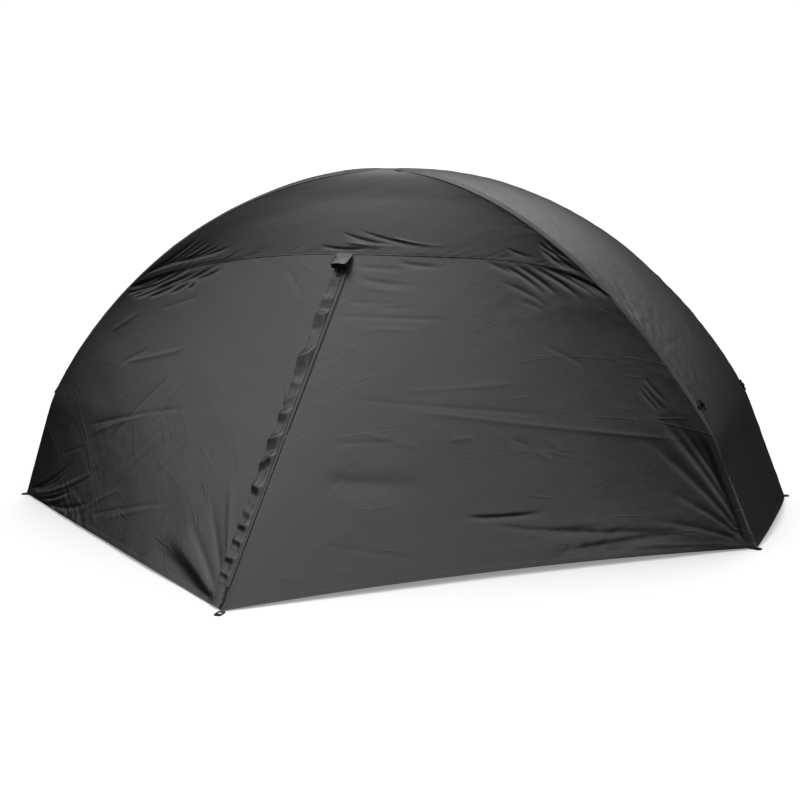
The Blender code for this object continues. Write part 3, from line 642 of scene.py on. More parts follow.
class Cloth:
    """Grid of points with outward normals, on which folds add height. Rows run up, columns across.

    A line on it is (over, up) of its start and (over, up) of its end.
    """

    def __init__(self, points, overs, ups, seed, wander=0.0):
        self.points = points
        self.overs, self.ups = np.asarray(overs), np.asarray(ups)
        self.normals = grid_normals(points)
        self.across, self.up = metres(points, 1), metres(points, 0)
        self.height = np.zeros(points.shape[:2])
        self.random = np.random.default_rng(seed)
        self.wander = wander

    def from_edge(self, edge):
        if edge == "left":
            return self.across
        if edge == "right":
            return self.across[:, -1:] - self.across
        return self.up if edge == "low" else self.up[-1:] - self.up

    def at(self, place):
        """Index of the grid point nearest to shares (over, up) of the panel."""
        return np.abs(self.ups - place[1]).argmin(), np.abs(self.overs - place[0]).argmin()

    def beside_line(self, line, bow):
        """Each point's share along a line over the panel, and its distance to the side of it."""
        if self.wander:
            line = np.add(line, np.tile(self.wander * self.random.uniform(-1, 1, 2), 2))
        a, b = self.at(line[:2]), self.at(line[2:])
        chord = self.points[b] - self.points[a]
        size = np.linalg.norm(chord)
        middle = self.normals[self.at(np.add(line[:2], line[2:]) / 2)]
        away = self.points - self.points[a]
        along = away @ chord / size**2
        side = away @ unit(np.cross(chord, middle)) - bow * size * 4 * along * (1 - along)
        return along, side

    def crease(self, line, depth, width, bow):
        """A sharp storage crease with soft ends."""
        along, side = self.beside_line(line, bow)
        ends = smoothstep(along * 5) * smoothstep((1 - along) * 5)
        self.height += depth * ends * np.exp(-np.abs(side) / width)

    def pleat(self, line, depth, widths, bow=0.0, lean=0.3, tip=3.5):
        """A rounded fold, whose width changes from start to end, steeper on one side."""
        along, side = self.beside_line(line, bow)
        width = lerp(widths[0], widths[1], np.clip(along, 0, 1))
        width = width * np.where(side > 0, 1 + lean, 1 - lean)
        ends = smoothstep(along * tip) * smoothstep((1 - along) * 2.2)
        self.height += depth * ends * np.exp(-np.abs(side / width) ** 1.7)

    def pleats(self, table, widths, *form):
        """Pleats from rows of a line and a depth."""
        for *line, depth in table:
            self.pleat(line, depth, widths, *form)

    def cells(self, size):
        """Grid positions in cells of one size, and the cells' row and column numbers."""
        x, y = self.across / size, self.up / size
        return x, y, np.floor(y).astype(int), np.floor(x).astype(int)

    def hills(self, size):
        """Smooth random heights from -1 to 1, with hills about one size across."""
        x, y, i, j = self.cells(size)
        lattice = self.random.uniform(-1, 1, (int(y.max()) + 3, int(x.max()) + 3))
        v, u = smoothstep(y - i), smoothstep(x - j)
        low = lerp(lattice[i, j], lattice[i, j + 1], u)
        return lerp(low, lerp(lattice[i + 1, j], lattice[i + 1, j + 1], u), v)

    def crumple(self, size):
        """Facets with sharp edges, as stiff packed cloth has: distances to scattered points."""
        x, y, i, j = self.cells(size)
        spots = self.random.uniform(0.05, 0.95, (int(y.max()) + 4, int(x.max()) + 4, 2))
        nearest = np.full(x.shape, 9.0)
        for di in (-1, 0, 1):
            for dj in (-1, 0, 1):
                spot = spots[i + di + 1, j + dj + 1]
                distance = np.hypot(j + dj + spot[..., 0] - x, i + di + spot[..., 1] - y)
                nearest = np.minimum(nearest, distance)
        return nearest

    def pucker(self, edge, depth, reach, size):
        """Small waves that stand on a seam and fade away from it."""
        run = (self.up if edge in ("left", "right") else self.across) / size
        lattice = self.random.uniform(-1, 1, int(run.max()) + 3)
        i = np.floor(run).astype(int)
        waves = lerp(lattice[i], lattice[i + 1], smoothstep(run - i))
        self.height += depth * waves * np.exp(-self.from_edge(edge) / reach)

    def pin(self, margins, *edges):
        """Fades the folds to nothing at edges, over one margin for rises and one for hollows."""
        for edge in edges:
            margin = np.where(self.height > 0, *margins)
            self.height *= smoothstep(self.from_edge(edge) / margin)

    def lie_on_poles(self, *edges):
        """Pins the cloth to ridges, and keeps its hollows off the poles that lie inside them."""
        self.pin(RIDGE_MARGINS, *edges)
        for edge in edges:
            room = POLE_SLOPE * np.clip(self.from_edge(edge) - POLE_REACH, 0, None)
            self.height = np.maximum(self.height, -(POLE_CLEARANCE + room))

    def fold_over(self, edge, width=HEM_WIDTH, step=HEM_STEP):
        """Doubled cloth along an edge: a hem or a seam allowance."""
        self.height += step * smoothstep((width - self.from_edge(edge)) / 0.002)

    def shape(self):
        shaped = self.points + self.normals * self.height[..., None]
        shaped[..., 2] = np.maximum(shaped[..., 2], GROUND_CLEARANCE)
        return shaped

    def beside(self, edge, distance, shares, lift=0.0):
        """Points and normals on the folded cloth at a distance from an edge, at shares along it."""
        upright = edge in ("left", "right")
        grids = [self.shape(), self.normals, self.from_edge(edge)[..., None]]
        if upright:
            grids = [grid.transpose(1, 0, 2) for grid in grids]
        if edge in ("right", "high"):
            grids = [grid[::-1] for grid in grids]
        away = grids.pop()[..., 0]
        low = np.clip((away < distance).sum(axis=0) - 1, 0, len(away) - 2)
        column = np.arange(away.shape[1])
        start, end = away[low, column], away[low + 1, column]
        part = np.clip((distance - start) / np.maximum(end - start, 1e-9), 0, 1)[:, None]
        keys = self.ups if upright else self.overs
        lines = [lerp(grid[low, column], grid[low + 1, column], part) for grid in grids]
        points, ways = (sampled(shares, keys, line) for line in lines)
        ways = unit(ways)
        return points + ways * lift, ways


# Mesh builders


def add(name, mesh, look):
    mesh.materials.append(LOOKS[look])
    return placed(name, mesh)


def with_flat_map(mesh, places):
    """Gives the mesh a map in metres along the cloth."""
    loops = np.zeros(len(mesh.loops), np.int32)
    mesh.loops.foreach_get("vertex_index", loops)
    layer = mesh.uv_layers.new(name="cloth")
    layer.uv.foreach_set("vector", np.asarray(places, np.float32)[loops].ravel())


def point_outward(mesh):
    """Turns the faces so that they look away from the middle of the tent on the whole."""
    centres = np.zeros(len(mesh.polygons) * 3, np.float32)
    normals = np.zeros_like(centres)
    mesh.polygons.foreach_get("center", centres)
    mesh.polygons.foreach_get("normal", normals)
    if np.sum(normals.reshape(-1, 3) * (centres.reshape(-1, 3) - MIDDLE)) < 0:
        mesh.flip_normals()


def sheet_mesh(name, cloth, turn, look, pointed=False):
    """The cloth as a mesh. A pointed one has its last row drawn together into one point."""
    points = cloth.shape() * turn
    rows, columns = points.shape[:2]
    index = np.arange(rows * columns).reshape(rows, columns)
    count = rows * columns
    if pointed:
        index[-1] = index[-1, 0]
        count = index[-1, 0] + 1
    corners = [index[:-1, :-1], index[:-1, 1:], index[1:, 1:], index[1:, :-1]]
    corners = np.stack(corners, -1).reshape(-1, 4)
    faces = [list(dict.fromkeys(face)) for face in corners.tolist()]
    mesh = bpy.data.meshes.new(name)
    mesh.from_pydata(points.reshape(-1, 3)[:count].tolist(), [], faces)
    mesh.shade_smooth()
    with_flat_map(mesh, np.stack([cloth.across.ravel(), cloth.up.ravel()], -1)[:count])
    point_outward(mesh)
    return add(name, mesh, look)


def closed(name, points, faces, look, flat=None):
    """Solid with outward faces. Without a flat map its faces stay flat."""
    mesh = bpy.data.meshes.new(name)
    mesh.from_pydata(np.asarray(points).reshape(-1, 3).tolist(), [], faces)
    bm = bmesh.new()
    bm.from_mesh(mesh)
    bmesh.ops.recalc_face_normals(bm, faces=bm.faces)
    bm.to_mesh(mesh)
    bm.free()
    if flat is not None:
        mesh.shade_smooth()
        mesh.set_sharp_from_angle(angle=math.radians(42))
        with_flat_map(mesh, np.asarray(flat).reshape(-1, 2))
    return add(name, mesh, look)


def loft(name, rings, look, round_again=False, flat=None):
    """Closed solid through rings of points, capped at its ends, or joined to itself."""
    rings = np.asarray(rings)
    count, sides = rings.shape[:2]
    faces = []
    for r in range(count if round_again else count - 1):
        here, there = r * sides, (r + 1) % count * sides
        for s in range(sides):
            after = (s + 1) % sides
            faces.append([here + s, here + after, there + after, there + s])
    if not round_again:
        faces += [list(range(sides))[::-1], [(count - 1) * sides + s for s in range(sides)]]
    if flat is None:
        flat = np.stack([metres(rings, 1), metres(rings, 0)], -1)
    return closed(name, rings, faces, look, flat)


def frames(path, side):
    """The path with the directions across it, the first of them on the side's side."""
    path = np.asarray(path, float)
    way = unit(np.gradient(path, axis=0))
    across = square_to(side, way)
    return path[:, None], across[:, None], np.cross(way, across)[:, None]


def tube(name, path, radii, side, look):
    """Round rod along a path. side is a direction that the path never follows."""
    path, u, v = frames(path, side)
    angles = round_angles(POLE_SIDES)[None, :, None]
    radii = np.broadcast_to(radii, len(path))[:, None, None]
    return loft(name, path + (u * np.cos(angles) + v * np.sin(angles)) * radii, look)


WEBBING = (
    (-1, -0.4), (-1, 0.4), (-0.93, 1), (-0.5, 1), (0, 1), (0.5, 1), (0.93, 1),
    (1, 0.4), (1, -0.4), (0.93, -1), (0.5, -1), (0, -1), (-0.5, -1), (-0.93, -1),
)


def strap(name, path, side, widths, thickness, look):
    """Flat webbing with rounded edges along a path. side is the direction of its width."""
    path, u, v = frames(path, side)
    section = np.array(WEBBING)[None]
    widths = np.broadcast_to(widths, len(path))[:, None, None]
    wide, thick = u * section[..., :1] * widths / 2, v * section[..., 1:] * thickness / 2
    return loft(name, path + wide + thick, look)


def turned(name, base, axis, profile, sides, look):
    """Turned solid: the profile gives (distance along the axis, radius)."""
    side = RIGHT if abs(axis[0]) < 0.9 else np.array([0, 1.0, 0])
    u = unit(np.cross(axis, side))
    v = np.cross(axis, u)
    angles = round_angles(sides)[:, None]
    circle = u * np.cos(angles) + v * np.sin(angles)
    rings = [base + axis * along + radius * circle for along, radius in profile]
    return loft(name, rings, look)


def on_ground(way):
    """A direction on the ground and the one to its left."""
    way = unit(np.array([way[0], way[1], 0.0]))
    return way, np.array([-way[1], way[0], 0])


def ring_plate(name, centre, way, reach, half_width, hole, look):
    """Flat piece on the ground with rounded corners and a round hole."""
    way, side = on_ground(way)
    edge = ((0, 0.15), (0, 0.85), (0.08, 1), (0.5, 1), (0.92, 1), (1, 0.8), (1, 0.2))
    profile = (*edge, (0.92, 0), (0.5, 0), (0.08, 0))
    rings, flat = [], []
    for angle in round_angles(72):
        c, s = math.cos(angle), math.sin(angle)
        long = reach[1] if c > 0 else reach[0]
        far = long * math.copysign(abs(c) ** 0.5, c)
        aside = half_width * math.copysign(abs(s) ** 0.5, s)
        ring = []
        for share, height in profile:
            x, y = lerp(hole * c, far, share), lerp(hole * s, aside, share)
            ring.append(centre + way * x + side * y + UP * height * TAB_THICKNESS)
            flat.append((y, x))
        rings.append(ring)
    return loft(name, rings, look, True, flat)


def eyelet(name, centre, radius, look):
    """Pressed metal ring in a hole of a flat piece on the ground."""
    rings = []
    for angle in round_angles(40):
        way = np.array([math.cos(angle), math.sin(angle), 0])
        ring = []
        for turn in round_angles(12):
            out = radius + EYELET_SEAT + EYELET_RADIUS * math.cos(turn)
            rise = UP * TAB_THICKNESS * (0.58 + 0.57 * math.sin(turn))
            ring.append(centre + way * out + rise)
        rings.append(ring)
    return loft(name, rings, look, True)


def rods(name, centres, ways, normals, length, radius, look):
    """Many short rods of three sides as one mesh, such as stitches or teeth."""
    sides = np.cross(ways, normals)
    corners = []
    for end, slim in ((-0.5, 0.6), (-0.3, 1), (0.3, 1), (0.5, 0.6)):
        centre = centres + ways * length * end
        foot = normals * (-0.5 * radius * (1 - slim))
        aside = sides * radius * slim
        corners += [centre - aside + foot, centre + aside + foot]
        corners.append(centre + normals * radius * 1.4 * slim)
    points = np.stack(corners, 1)
    cell = [[0, 2, 1], [9, 10, 11]]
    for r in (0, 3, 6):
        cell += [[r, r + 1, r + 4, r + 3], [r + 1, r + 2, r + 5, r + 4], [r + 2, r, r + 3, r + 5]]
    faces = [[v + 12 * n for v in face] for n in range(len(points)) for face in cell]
    return closed(name, points, faces, look)


def keep(thing, slot, *nodes):
    """Puts a piece on the one body, and hides the nodes that it stands for. Its slot is not used.
    """
    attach(thing, "root")
    if nodes:
        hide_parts(*nodes)
    return thing


def stitched(name, points, normals, radius=STITCH_RADIUS):
    """A row of stitches along a line of points."""
    run = run_along(points)
    spots = np.arange(STITCH_PITCH, run[-1] - STITCH_PITCH, STITCH_PITCH)
    centres, lifts = sampled(spots, run, points), unit(sampled(spots, run, normals))
    ways = unit(np.gradient(centres, axis=0))
    return keep(rods(name, centres, ways, lifts, STITCH_LENGTH, radius, "thread"), "fly_fabric")


def sewn(name, cloth, edge, distance, shares, turn, lift=0.0, radius=STITCH_RADIUS):
    """A row of stitches on a cloth, at a distance from an edge of it."""
    points, normals = cloth.beside(edge, distance, shares, lift)
    return stitched(name, points * turn, normals * turn, radius)


# Folds, as lines in shares of the panel: over a door from the zip to the ridge and up it from the
# hem to the seam, over the roof from its left ridge (-1) to its right one (1) and up it from the
# seam to the crown, and over an end from its front ridge (-1) to its back one (1)

LEFT_CREASES = (
    (0.81, 0.33, 0.35, 0.48), (0.78, 0.30, 0.49, 0.44), (0.69, 0.24, 0.49, 0.59),
    (0.51, 0.39, 0.44, 0.58), (0.58, 0.22, 0.43, 0.41), (0.42, 0.25, 0.31, 0.41),
    (0.66, 0.04, 0.33, 0.18), (0.58, 0.05, 0.32, 0.17), (0.63, 0.05, 0.38, 0.40),
    (0.47, 0.01, 0.34, 0.16), (0.41, 0.01, 0.29, 0.19), (0.36, 0.01, 0.25, 0.13),
    (0.76, 0.59, 0.66, 0.66), (0.74, 0.60, 0.49, 0.67), (0.72, 0.82, 0.57, 0.86),
    (0.89, 0.74, 0.81, 0.82), (0.87, 0.21, 0.76, 0.27), (0.93, 0.01, 0.80, 0.18),
    (0.91, 0.04, 0.66, 0.21), (0.89, 0.03, 0.68, 0.20), (0.80, 0.03, 0.66, 0.22),
    (0.69, 0.04, 0.53, 0.17),
)
LEFT_GATHERS = (
    (0.985, 0.975, 0.83, 1.0), (0.95, 0.95, 0.76, 1.0), (0.92, 0.93, 0.69, 1.0),
    (0.84, 0.92, 0.63, 0.98), (0.74, 0.92, 0.56, 0.99), (0.66, 0.93, 0.53, 0.97),
)
RIGHT_CREASES = (
    (0.00, 0.81, 0.39, 0.78), (0.25, 0.56, 0.57, 0.57), (0.10, 0.55, 0.64, 0.46),
    (0.26, 0.50, 0.94, 0.39), (0.10, 0.42, 0.27, 0.41), (0.15, 0.45, 0.32, 0.38),
    (0.63, 0.70, 0.74, 0.63), (0.38, 0.40, 0.44, 0.40), (0.52, 0.39, 0.56, 0.37),
    (0.58, 0.34, 0.61, 0.32), (0.02, 0.85, 0.21, 0.84), (0.10, 0.76, 0.28, 0.75),
    (0.14, 0.14, 0.34, 0.06), (0.08, 0.07, 0.13, 0.04), (0.12, 0.26, 0.18, 0.37),
    (0.20, 0.05, 0.22, 0.06), (0.60, 0.09, 0.69, 0.09), (0.73, 0.04, 0.99, 0.01),
)
LEFT_FAN = (
    (0.985, 0.025, 0.78, 0.22), (0.965, 0.016, 0.66, 0.22), (0.955, 0.04, 0.80, 0.17),
    (0.95, 0.013, 0.68, 0.17), (0.90, 0.017, 0.71, 0.16), (0.90, 0.01, 0.73, 0.11),
    (0.86, 0.01, 0.64, 0.10),
)
# With depths
LEFT_TOP_FOLDS = (
    (0.25, 0.96, 0.10, 0.845, -0.0015), (0.20, 0.985, 0.11, 0.925, 0.0010),
    (0.06, 0.53, 0.015, 0.46, -0.002), (0.06, 0.60, 0.012, 0.48, -0.002),
)
RIGHT_GATHERS = (
    (0.50, 0.985, 0.62, 0.93, -0.003), (0.55, 0.985, 0.70, 0.87, -0.004),
    (0.53, 0.92, 0.70, 0.83, -0.002), (0.60, 0.99, 0.74, 0.87, -0.0045),
    (0.66, 0.99, 0.82, 0.885, -0.0045), (0.70, 0.995, 0.89, 0.92, -0.0045),
    (0.76, 0.995, 0.93, 0.94, -0.0045), (0.82, 0.995, 0.965, 0.965, -0.0045),
    (0.58, 0.855, 0.68, 0.815, -0.0012),
)
RIGHT_TOP_FOLDS = (
    (0.0, 0.965, 0.26, 0.955, -0.0022), (0.02, 0.925, 0.28, 0.90, -0.0022),
    (0.05, 0.90, 0.26, 0.875, 0.0014), (0.12, 0.83, 0.28, 0.83, -0.0015),
    (0.16, 0.98, 0.36, 0.965, -0.0035),
)
ROOF_FOLDS = (
    (-0.22, 0.075, 0.05, 0.055, -0.0036), (-0.16, 0.20, 0.16, 0.08, -0.0034),
    (-0.09, 0.23, 0.39, 0.07, -0.0034), (-0.12, 0.11, 0.16, 0.085, 0.0030),
    (0.10, 0.16, 0.38, 0.08, 0.0030),
)
ROOF_GATHERS = (
    (0.84, 0.20, 0.88, 0.12, -0.003), (0.80, 0.15, 0.87, 0.06, -0.003),
    (0.86, 0.16, 0.93, 0.06, -0.0035), (0.79, 0.09, 0.88, 0.04, -0.002),
    (0.62, 0.10, 0.72, 0.05, -0.002), (0.90, 0.24, 0.94, 0.14, -0.0025),
)
# With depths and widths at the far end
RIGHT_LONG_FOLDS = (
    (1.0, 0.012, 0.945, 0.46, -0.0055, 0.012), (0.995, 0.015, 0.905, 0.50, -0.0050, 0.014),
    (0.99, 0.02, 0.855, 0.52, -0.0036, 0.018), (0.985, 0.02, 0.80, 0.42, -0.0020, 0.018),
    (0.985, 0.02, 0.84, 0.22, -0.0016, 0.012), (0.97, 0.03, 0.78, 0.12, -0.0012, 0.010),
    (0.862, 0.56, 0.90, 0.47, -0.0012, 0.006), (0.876, 0.58, 0.914, 0.48, -0.0014, 0.006),
    (0.890, 0.61, 0.925, 0.52, -0.0012, 0.006),
)
# Whole pleats: line, depth, widths and, where they aren't the usual ones, bow, lean and tip
LEFT_STAKED_FOLDS = (
    ((0.01, 0.012, 0.30, 0.13), 0.009, (0.014, 0.055)),
    ((0.012, 0.006, 0.24, 0.018), -0.006, (0.012, 0.032), 0.03, -0.2, 6),
    ((0.03, 0.010, 0.16, 0.012), -0.002, (0.004, 0.008), 0.03, -0.2, 6),
    ((0.05, 0.016, 0.34, 0.055), -0.005, (0.014, 0.034), 0.03, 0.0),
    ((0.01, 0.02, 0.22, 0.17), -0.004, (0.006, 0.014)),
    ((0.01, 0.05, 0.19, 0.26), -0.003, (0.006, 0.013)),
    ((0.01, 0.08, 0.14, 0.34), 0.0025, (0.006, 0.016)),
)
RIGHT_LOW_FOLDS = (
    ((0.09, 0.32, 0.36, 0.27), -0.005, (0.026, 0.045)),
    ((0.41, 0.17, 0.60, 0.165), -0.0055, (0.005, 0.006), 0.03),
    ((0.46, 0.15, 0.74, 0.12), -0.0020, (0.006, 0.008), 0.06),
    ((0.56, 0.10, 0.90, 0.07), -0.0020, (0.009, 0.012)),
    ((0.60, 0.03, 0.90, 0.065), -0.0030, (0.010, 0.014), -0.02),
)
ROOF_LONG_FOLD = ((0.0, 0.985, 0.75, 0.90), -0.006, (0.006, 0.010), 0.0, 0.3, 8)
END_GATHERS = ((0.98, 0.43, 0.82, 0.52), (0.98, 0.46, 0.86, 0.55), (0.97, 0.41, 0.72, 0.49))
# Crumpled heaps: middle (over, up) and spread
LEFT_HEAP = ((0.76, 0.0), (0.13, 0.10))
RIGHT_HEAP = ((0.66, 0.05), (0.12, 0.07))
# Heights and sizes of every panel's hills and facets, and the size of the facets' patches
SETTLING, PATCH_SIZE = ((0.0020, 0.24), (0.0007, 0.08), (0.0012, 0.05)), 0.25
FOLD_DEPTH, FOLD_SPREAD = 0.0014, 0.0045
# The crumpled band of an end: middle and half height as shares of it, and reach from the front
BAND_MIDDLE, BAND_HALF, BAND_REACH = 0.38, 0.24, 0.20


def settle(cloth, share=1.0):
    """What every panel has: soft unevenness and fine crumpling in patches."""
    (large, wide), (small, narrow), (fine, facet) = SETTLING
    cloth.height += share * (large * cloth.hills(wide) + small * cloth.hills(narrow))
    patches = np.clip(cloth.hills(PATCH_SIZE) + 0.1, 0, 1)
    cloth.height += fine * share * patches * cloth.crumple(facet)


def creases(cloth, table):
    """Storage creases, which stand out and are hollow by turns."""
    for n, line in enumerate(table):
        depth = FOLD_DEPTH * cloth.random.uniform(0.8, 1.3)
        bow = cloth.random.uniform(-0.02, 0.02)
        cloth.crease(line, depth if n % 2 else -depth, FOLD_SPREAD, bow)


def heaped(cloth, middle, spread):
    over = np.exp(-(((cloth.overs - middle[0]) / spread[0]) ** 2))
    return over * np.exp(-(((cloth.ups[:, None] - middle[1]) / spread[1]) ** 2))


def finish_door(cloth):
    cloth.pucker("high", *SEAM_PUCKER)
    cloth.lie_on_poles("right")
    cloth.pin(SEAM_MARGINS, "left", "high")
    cloth.fold_over("low")


def fold_left_door(cloth):
    settle(cloth)
    creases(cloth, LEFT_CREASES)
    for n, line in enumerate(LEFT_FAN):
        cloth.pleat(line, 0.0035 if n % 2 else -0.0035, (0.0035, 0.008), 0.06, 0.2, 9)
    cloth.height += 0.005 * heaped(cloth, *LEFT_HEAP) * cloth.crumple(0.034)
    for n, line in enumerate(LEFT_GATHERS):
        cloth.pleat(line, -0.005, (0.0045, 0.0055), 0.03, 0.0)
        lower = np.add(line, (-0.012, -0.035, 0.02 * n, -0.045))
        cloth.pleat(lower, -0.004, (0.004, 0.005), 0.03)
    cloth.pleats(LEFT_TOP_FOLDS, (0.006, 0.008))
    for fold in LEFT_STAKED_FOLDS:
        cloth.pleat(*fold)
    finish_door(cloth)


def fold_right_door(cloth):
    settle(cloth)
    creases(cloth, RIGHT_CREASES)
    cloth.pleats(RIGHT_GATHERS, (0.0045, 0.006), -0.04, 0.0, 2.5)
    cloth.pleats(RIGHT_TOP_FOLDS, (0.006, 0.007), 0.03)
    for fold in RIGHT_LOW_FOLDS:
        cloth.pleat(*fold)
    cloth.height += 0.0030 * heaped(cloth, *RIGHT_HEAP) * np.abs(cloth.hills(0.05))
    for *line, depth, width in RIGHT_LONG_FOLDS:
        cloth.pleat(line, depth, (0.004, width), 0.03, 0.2, 14)
    finish_door(cloth)


def fold_roof(cloth):
    settle(cloth, 0.35)
    cloth.pleats(ROOF_FOLDS, (0.004, 0.008), 0.05)
    for n in range(6):
        line = (0.03 * n - 0.975, 0.03 + 0.008 * n, 0.055 * n - 0.90, 0.27 - 0.03 * n)
        cloth.pleat(line, -0.0034, (0.0035, 0.0055), 0.04, 0.0)
    cloth.pleats(ROOF_GATHERS, (0.004, 0.006), 0.05)
    cloth.pleat(*ROOF_LONG_FOLD)
    cloth.pucker("low", *SEAM_PUCKER)
    cloth.lie_on_poles("left", "right")
    cloth.pin(SEAM_MARGINS, "low")
    cloth.pin(CROWN_MARGINS, "high")


def fold_end(cloth, belly):
    settle(cloth, 0.7)
    cloth.height += belly * (1 - cloth.overs**2) * smoothstep((1 - cloth.ups) / 0.5)[:, None]
    for line in END_GATHERS:
        for side in (-1, 1):
            cloth.pleat(np.multiply(line, (side, 1, side, 1)), -0.005, (0.004, 0.006))
    rise = cloth.up / cloth.up[-1:].max()
    band = smoothstep(1 - np.abs(rise - BAND_MIDDLE) / BAND_HALF)
    band = band * smoothstep(1.3 - cloth.from_edge("left") / BAND_REACH)
    cloth.height += band * (0.0014 * np.abs(cloth.hills(0.044)) + 0.0013 * cloth.crumple(0.034))
    cloth.height += 0.0008 * band * cloth.crumple(0.019)
    for side in ("left", "right"):
        cloth.pucker(side, *END_PUCKER)
    cloth.lie_on_poles("left", "right")
    cloth.pin(CROWN_MARGINS, "high")
    cloth.fold_over("low")
    for side in ("left", "right"):
        cloth.fold_over(side, 0.010, 0.0005)


# Pieces of the fly


def shares_over(length, step, *ends):
    """Shares from 0 to 1, closer together at ends where cloth rolls over a pole."""
    even = np.linspace(0, 1, int(length / step) + 1)
    close = np.array(EDGE_STEPS) / length
    extra = [close if end == "start" else 1 - close for end in ends]
    return np.unique(np.concatenate([even, *extra]))


def door_cloth(kind, side, seed):
    step, side_x = STEPS[side], kind[3]
    rows = shares_between(CORNER_SHARE, SEAM_SHARE, step)
    over = shares_over(DOOR_SPAN, step, "end")
    line, way = ridge(side_x, -1, rows), ridge_way(side_x, -1, rows)
    points = door_grid(kind, over, rows)
    points = rolled(points, line, way, side_way(side_x, rows), end_way(side_x, rows))
    return Cloth(points, over, run_at(rows) / run_at(SEAM_SHARE), seed, WANDER[side])


def roof_cloth(side, seed):
    """Roof panel, drawn in from its curve towards straight lines between seam and crown."""
    rows = shares_between(SEAM_SHARE, 0.0, STEPS[side] * 1.1)
    across = shares_over(ROOF_SPAN, STEPS[side], "start", "end") * 2 - 1
    points = roof_point(across[None, :], rows[:, None])
    ups = (run_at(rows) - run_at(SEAM_SHARE)) / (run_at(0) - run_at(SEAM_SHARE))
    run = metres(points, 0)
    bulge = points - lerp(points[:1], points[-1:], (run / run[-1:])[..., None])
    taut = ROOF_TAUTNESS * (1 - across**2) ** 1.5 * smoothstep((1 - ups) / 0.5)[:, None]
    points = points - bulge * taut[..., None]
    for side_x in (-1, 1):
        line, way = ridge(side_x, -1, rows), ridge_way(side_x, -1, rows)
        points = rolled(points, line, way, side_way(side_x, rows), end_way(side_x, rows))
    return Cloth(points, across, ups, seed, WANDER[side])


def end_cloth(side):
    """End panel of one short side, built as the right one."""
    step = STEPS["front" if side == "right" else "back"]
    rows = shares_between(CORNER_SHARE, 0.0, step)
    over = shares_over(END_SPAN, step, "start", "end") * 2 - 1
    points = end_grid(over, rows)
    for side_y, inward, other in (
        (-1, end_way(1, rows), side_way(1, rows)),
        (1, end_way(1, rows) * [1, -1, 1], side_way(-1, rows) * TURNS["back"]),
    ):
        line, way = ridge(1, side_y, rows), ridge_way(1, side_y, rows)
        points = rolled(points, line, way, inward, other)
    return Cloth(points, over, run_at(rows) / run_at(0), SEEDS[side])


def panel_sheet(node, cloth, turn, look, pointed=False):
    """A panel of the fly, put on the body in place of its node."""
    thing = sheet_mesh(f"cloth_{node}", cloth, turn, look, pointed)
    keep(thing, "fly_fabric", node)


def zip_strip(ups, overs):
    near = lerp(STAKED_CORNER, ZIP_TOP, ups[:, None])
    edge = lerp(ZIP_EDGE_BOTTOM, ZIP_EDGE_TOP, ups[:, None])
    return lerp(near[:, None], edge[:, None], overs[None, :, None])


def make_zip(side, turn):
    """Zip tape between the doors with its closed coil, and the pull of its slider."""
    ups, overs = np.linspace(0, 0.999, 260), np.linspace(0.01, 0.99, ZIP_COLUMNS)
    cloth = Cloth(zip_strip(ups, overs), overs, ups, SEEDS["zip"])
    cloth.height -= 0.0004 * (1 - smoothstep(np.abs(overs - 0.5) / 0.4))[None]
    tape = sheet_mesh(f"zip_tape_{side}", cloth, turn, "tape")
    keep(tape, "zip_tape", f"zip_{side}")
    middle = zip_strip(ups, np.array([0.5]))[:, 0]
    run = run_along(middle)
    spots = np.arange(TOOTH_PITCH, run[-1] - TOOTH_PITCH, TOOTH_PITCH)
    across = unit(ZIP_EDGE_TOP - ZIP_TOP + ZIP_EDGE_BOTTOM - STAKED_CORNER)
    normals = sampled(spots, run, cloth.normals[:, ZIP_MIDDLE])
    ways = np.broadcast_to(across, normals.shape)
    offset = np.where(np.arange(len(spots)) % 2, TOOTH_OFFSET, -TOOTH_OFFSET)[:, None]
    centres = sampled(spots, run, middle) + ways * offset
    teeth = (centres * turn, ways * turn, normals * turn, TOOTH_LENGTH, TOOTH_RADIUS)
    coil = keep(rods(f"zip_coil_{side}", *teeth, "coil"), "zip_tape")
    start, out = cloth.points[PULL_ROW, ZIP_MIDDLE], cloth.normals[PULL_ROW, ZIP_MIDDLE]
    steps = np.linspace(0, 1, 14)[:, None]
    path = start + out * PULL_RISE + unit(STAKED_CORNER - ZIP_TOP) * PULL_LENGTH * steps
    path = path - out * PULL_DROP * smoothstep(steps)
    widths = 0.004 + 0.0035 * smoothstep(steps[:, 0] * 1.6)
    widths = widths - 0.004 * smoothstep((steps[:, 0] - 0.85) / 0.15)
    pull = (path * turn, across * turn, widths, PULL_THICKNESS)
    keep(strap(f"zip_pull_{side}", *pull, "metal"), "slider_metal")
    return [tape, coil]


def flap_cloth(side, door):
    """Smooth flap over the zip and on to the left door, at shares of its own width."""
    ups = np.linspace(*FLAP_ENDS, FLAP_ROWS[side])
    shaped = door.shape()
    column = np.interp(FLAP_SHARE, door.overs, np.arange(len(door.overs)))
    low = int(column)
    free_line = lerp(shaped[:, low], shaped[:, low + 1], column - low)
    free, zip_edge = (sampled(ups, door.ups, line) for line in (free_line, shaped[:, 0]))
    shares = np.array([0.0, 0.2, 0.4, 0.6, 0.75, 0.87, 1.0])
    outer = lerp(zip_edge[:, None], free[:, None], shares[None, :, None])
    knots = np.concatenate([zip_strip(ups, np.array([0, 0.25, 0.5, 0.75])), outer], axis=1)
    key = metres(knots, 1)
    key = key / key[:, -1:]
    seam = FLAP_SEAM - 0.015 + np.linspace(0, 0.03, 3)
    overs = np.unique(np.concatenate([np.linspace(0, 1, 19), seam]))
    grid = np.array([sampled(overs, key[row], knots[row]) for row in range(len(ups))])
    return Cloth(grid, overs, ups, FLAP_SEEDS[side])


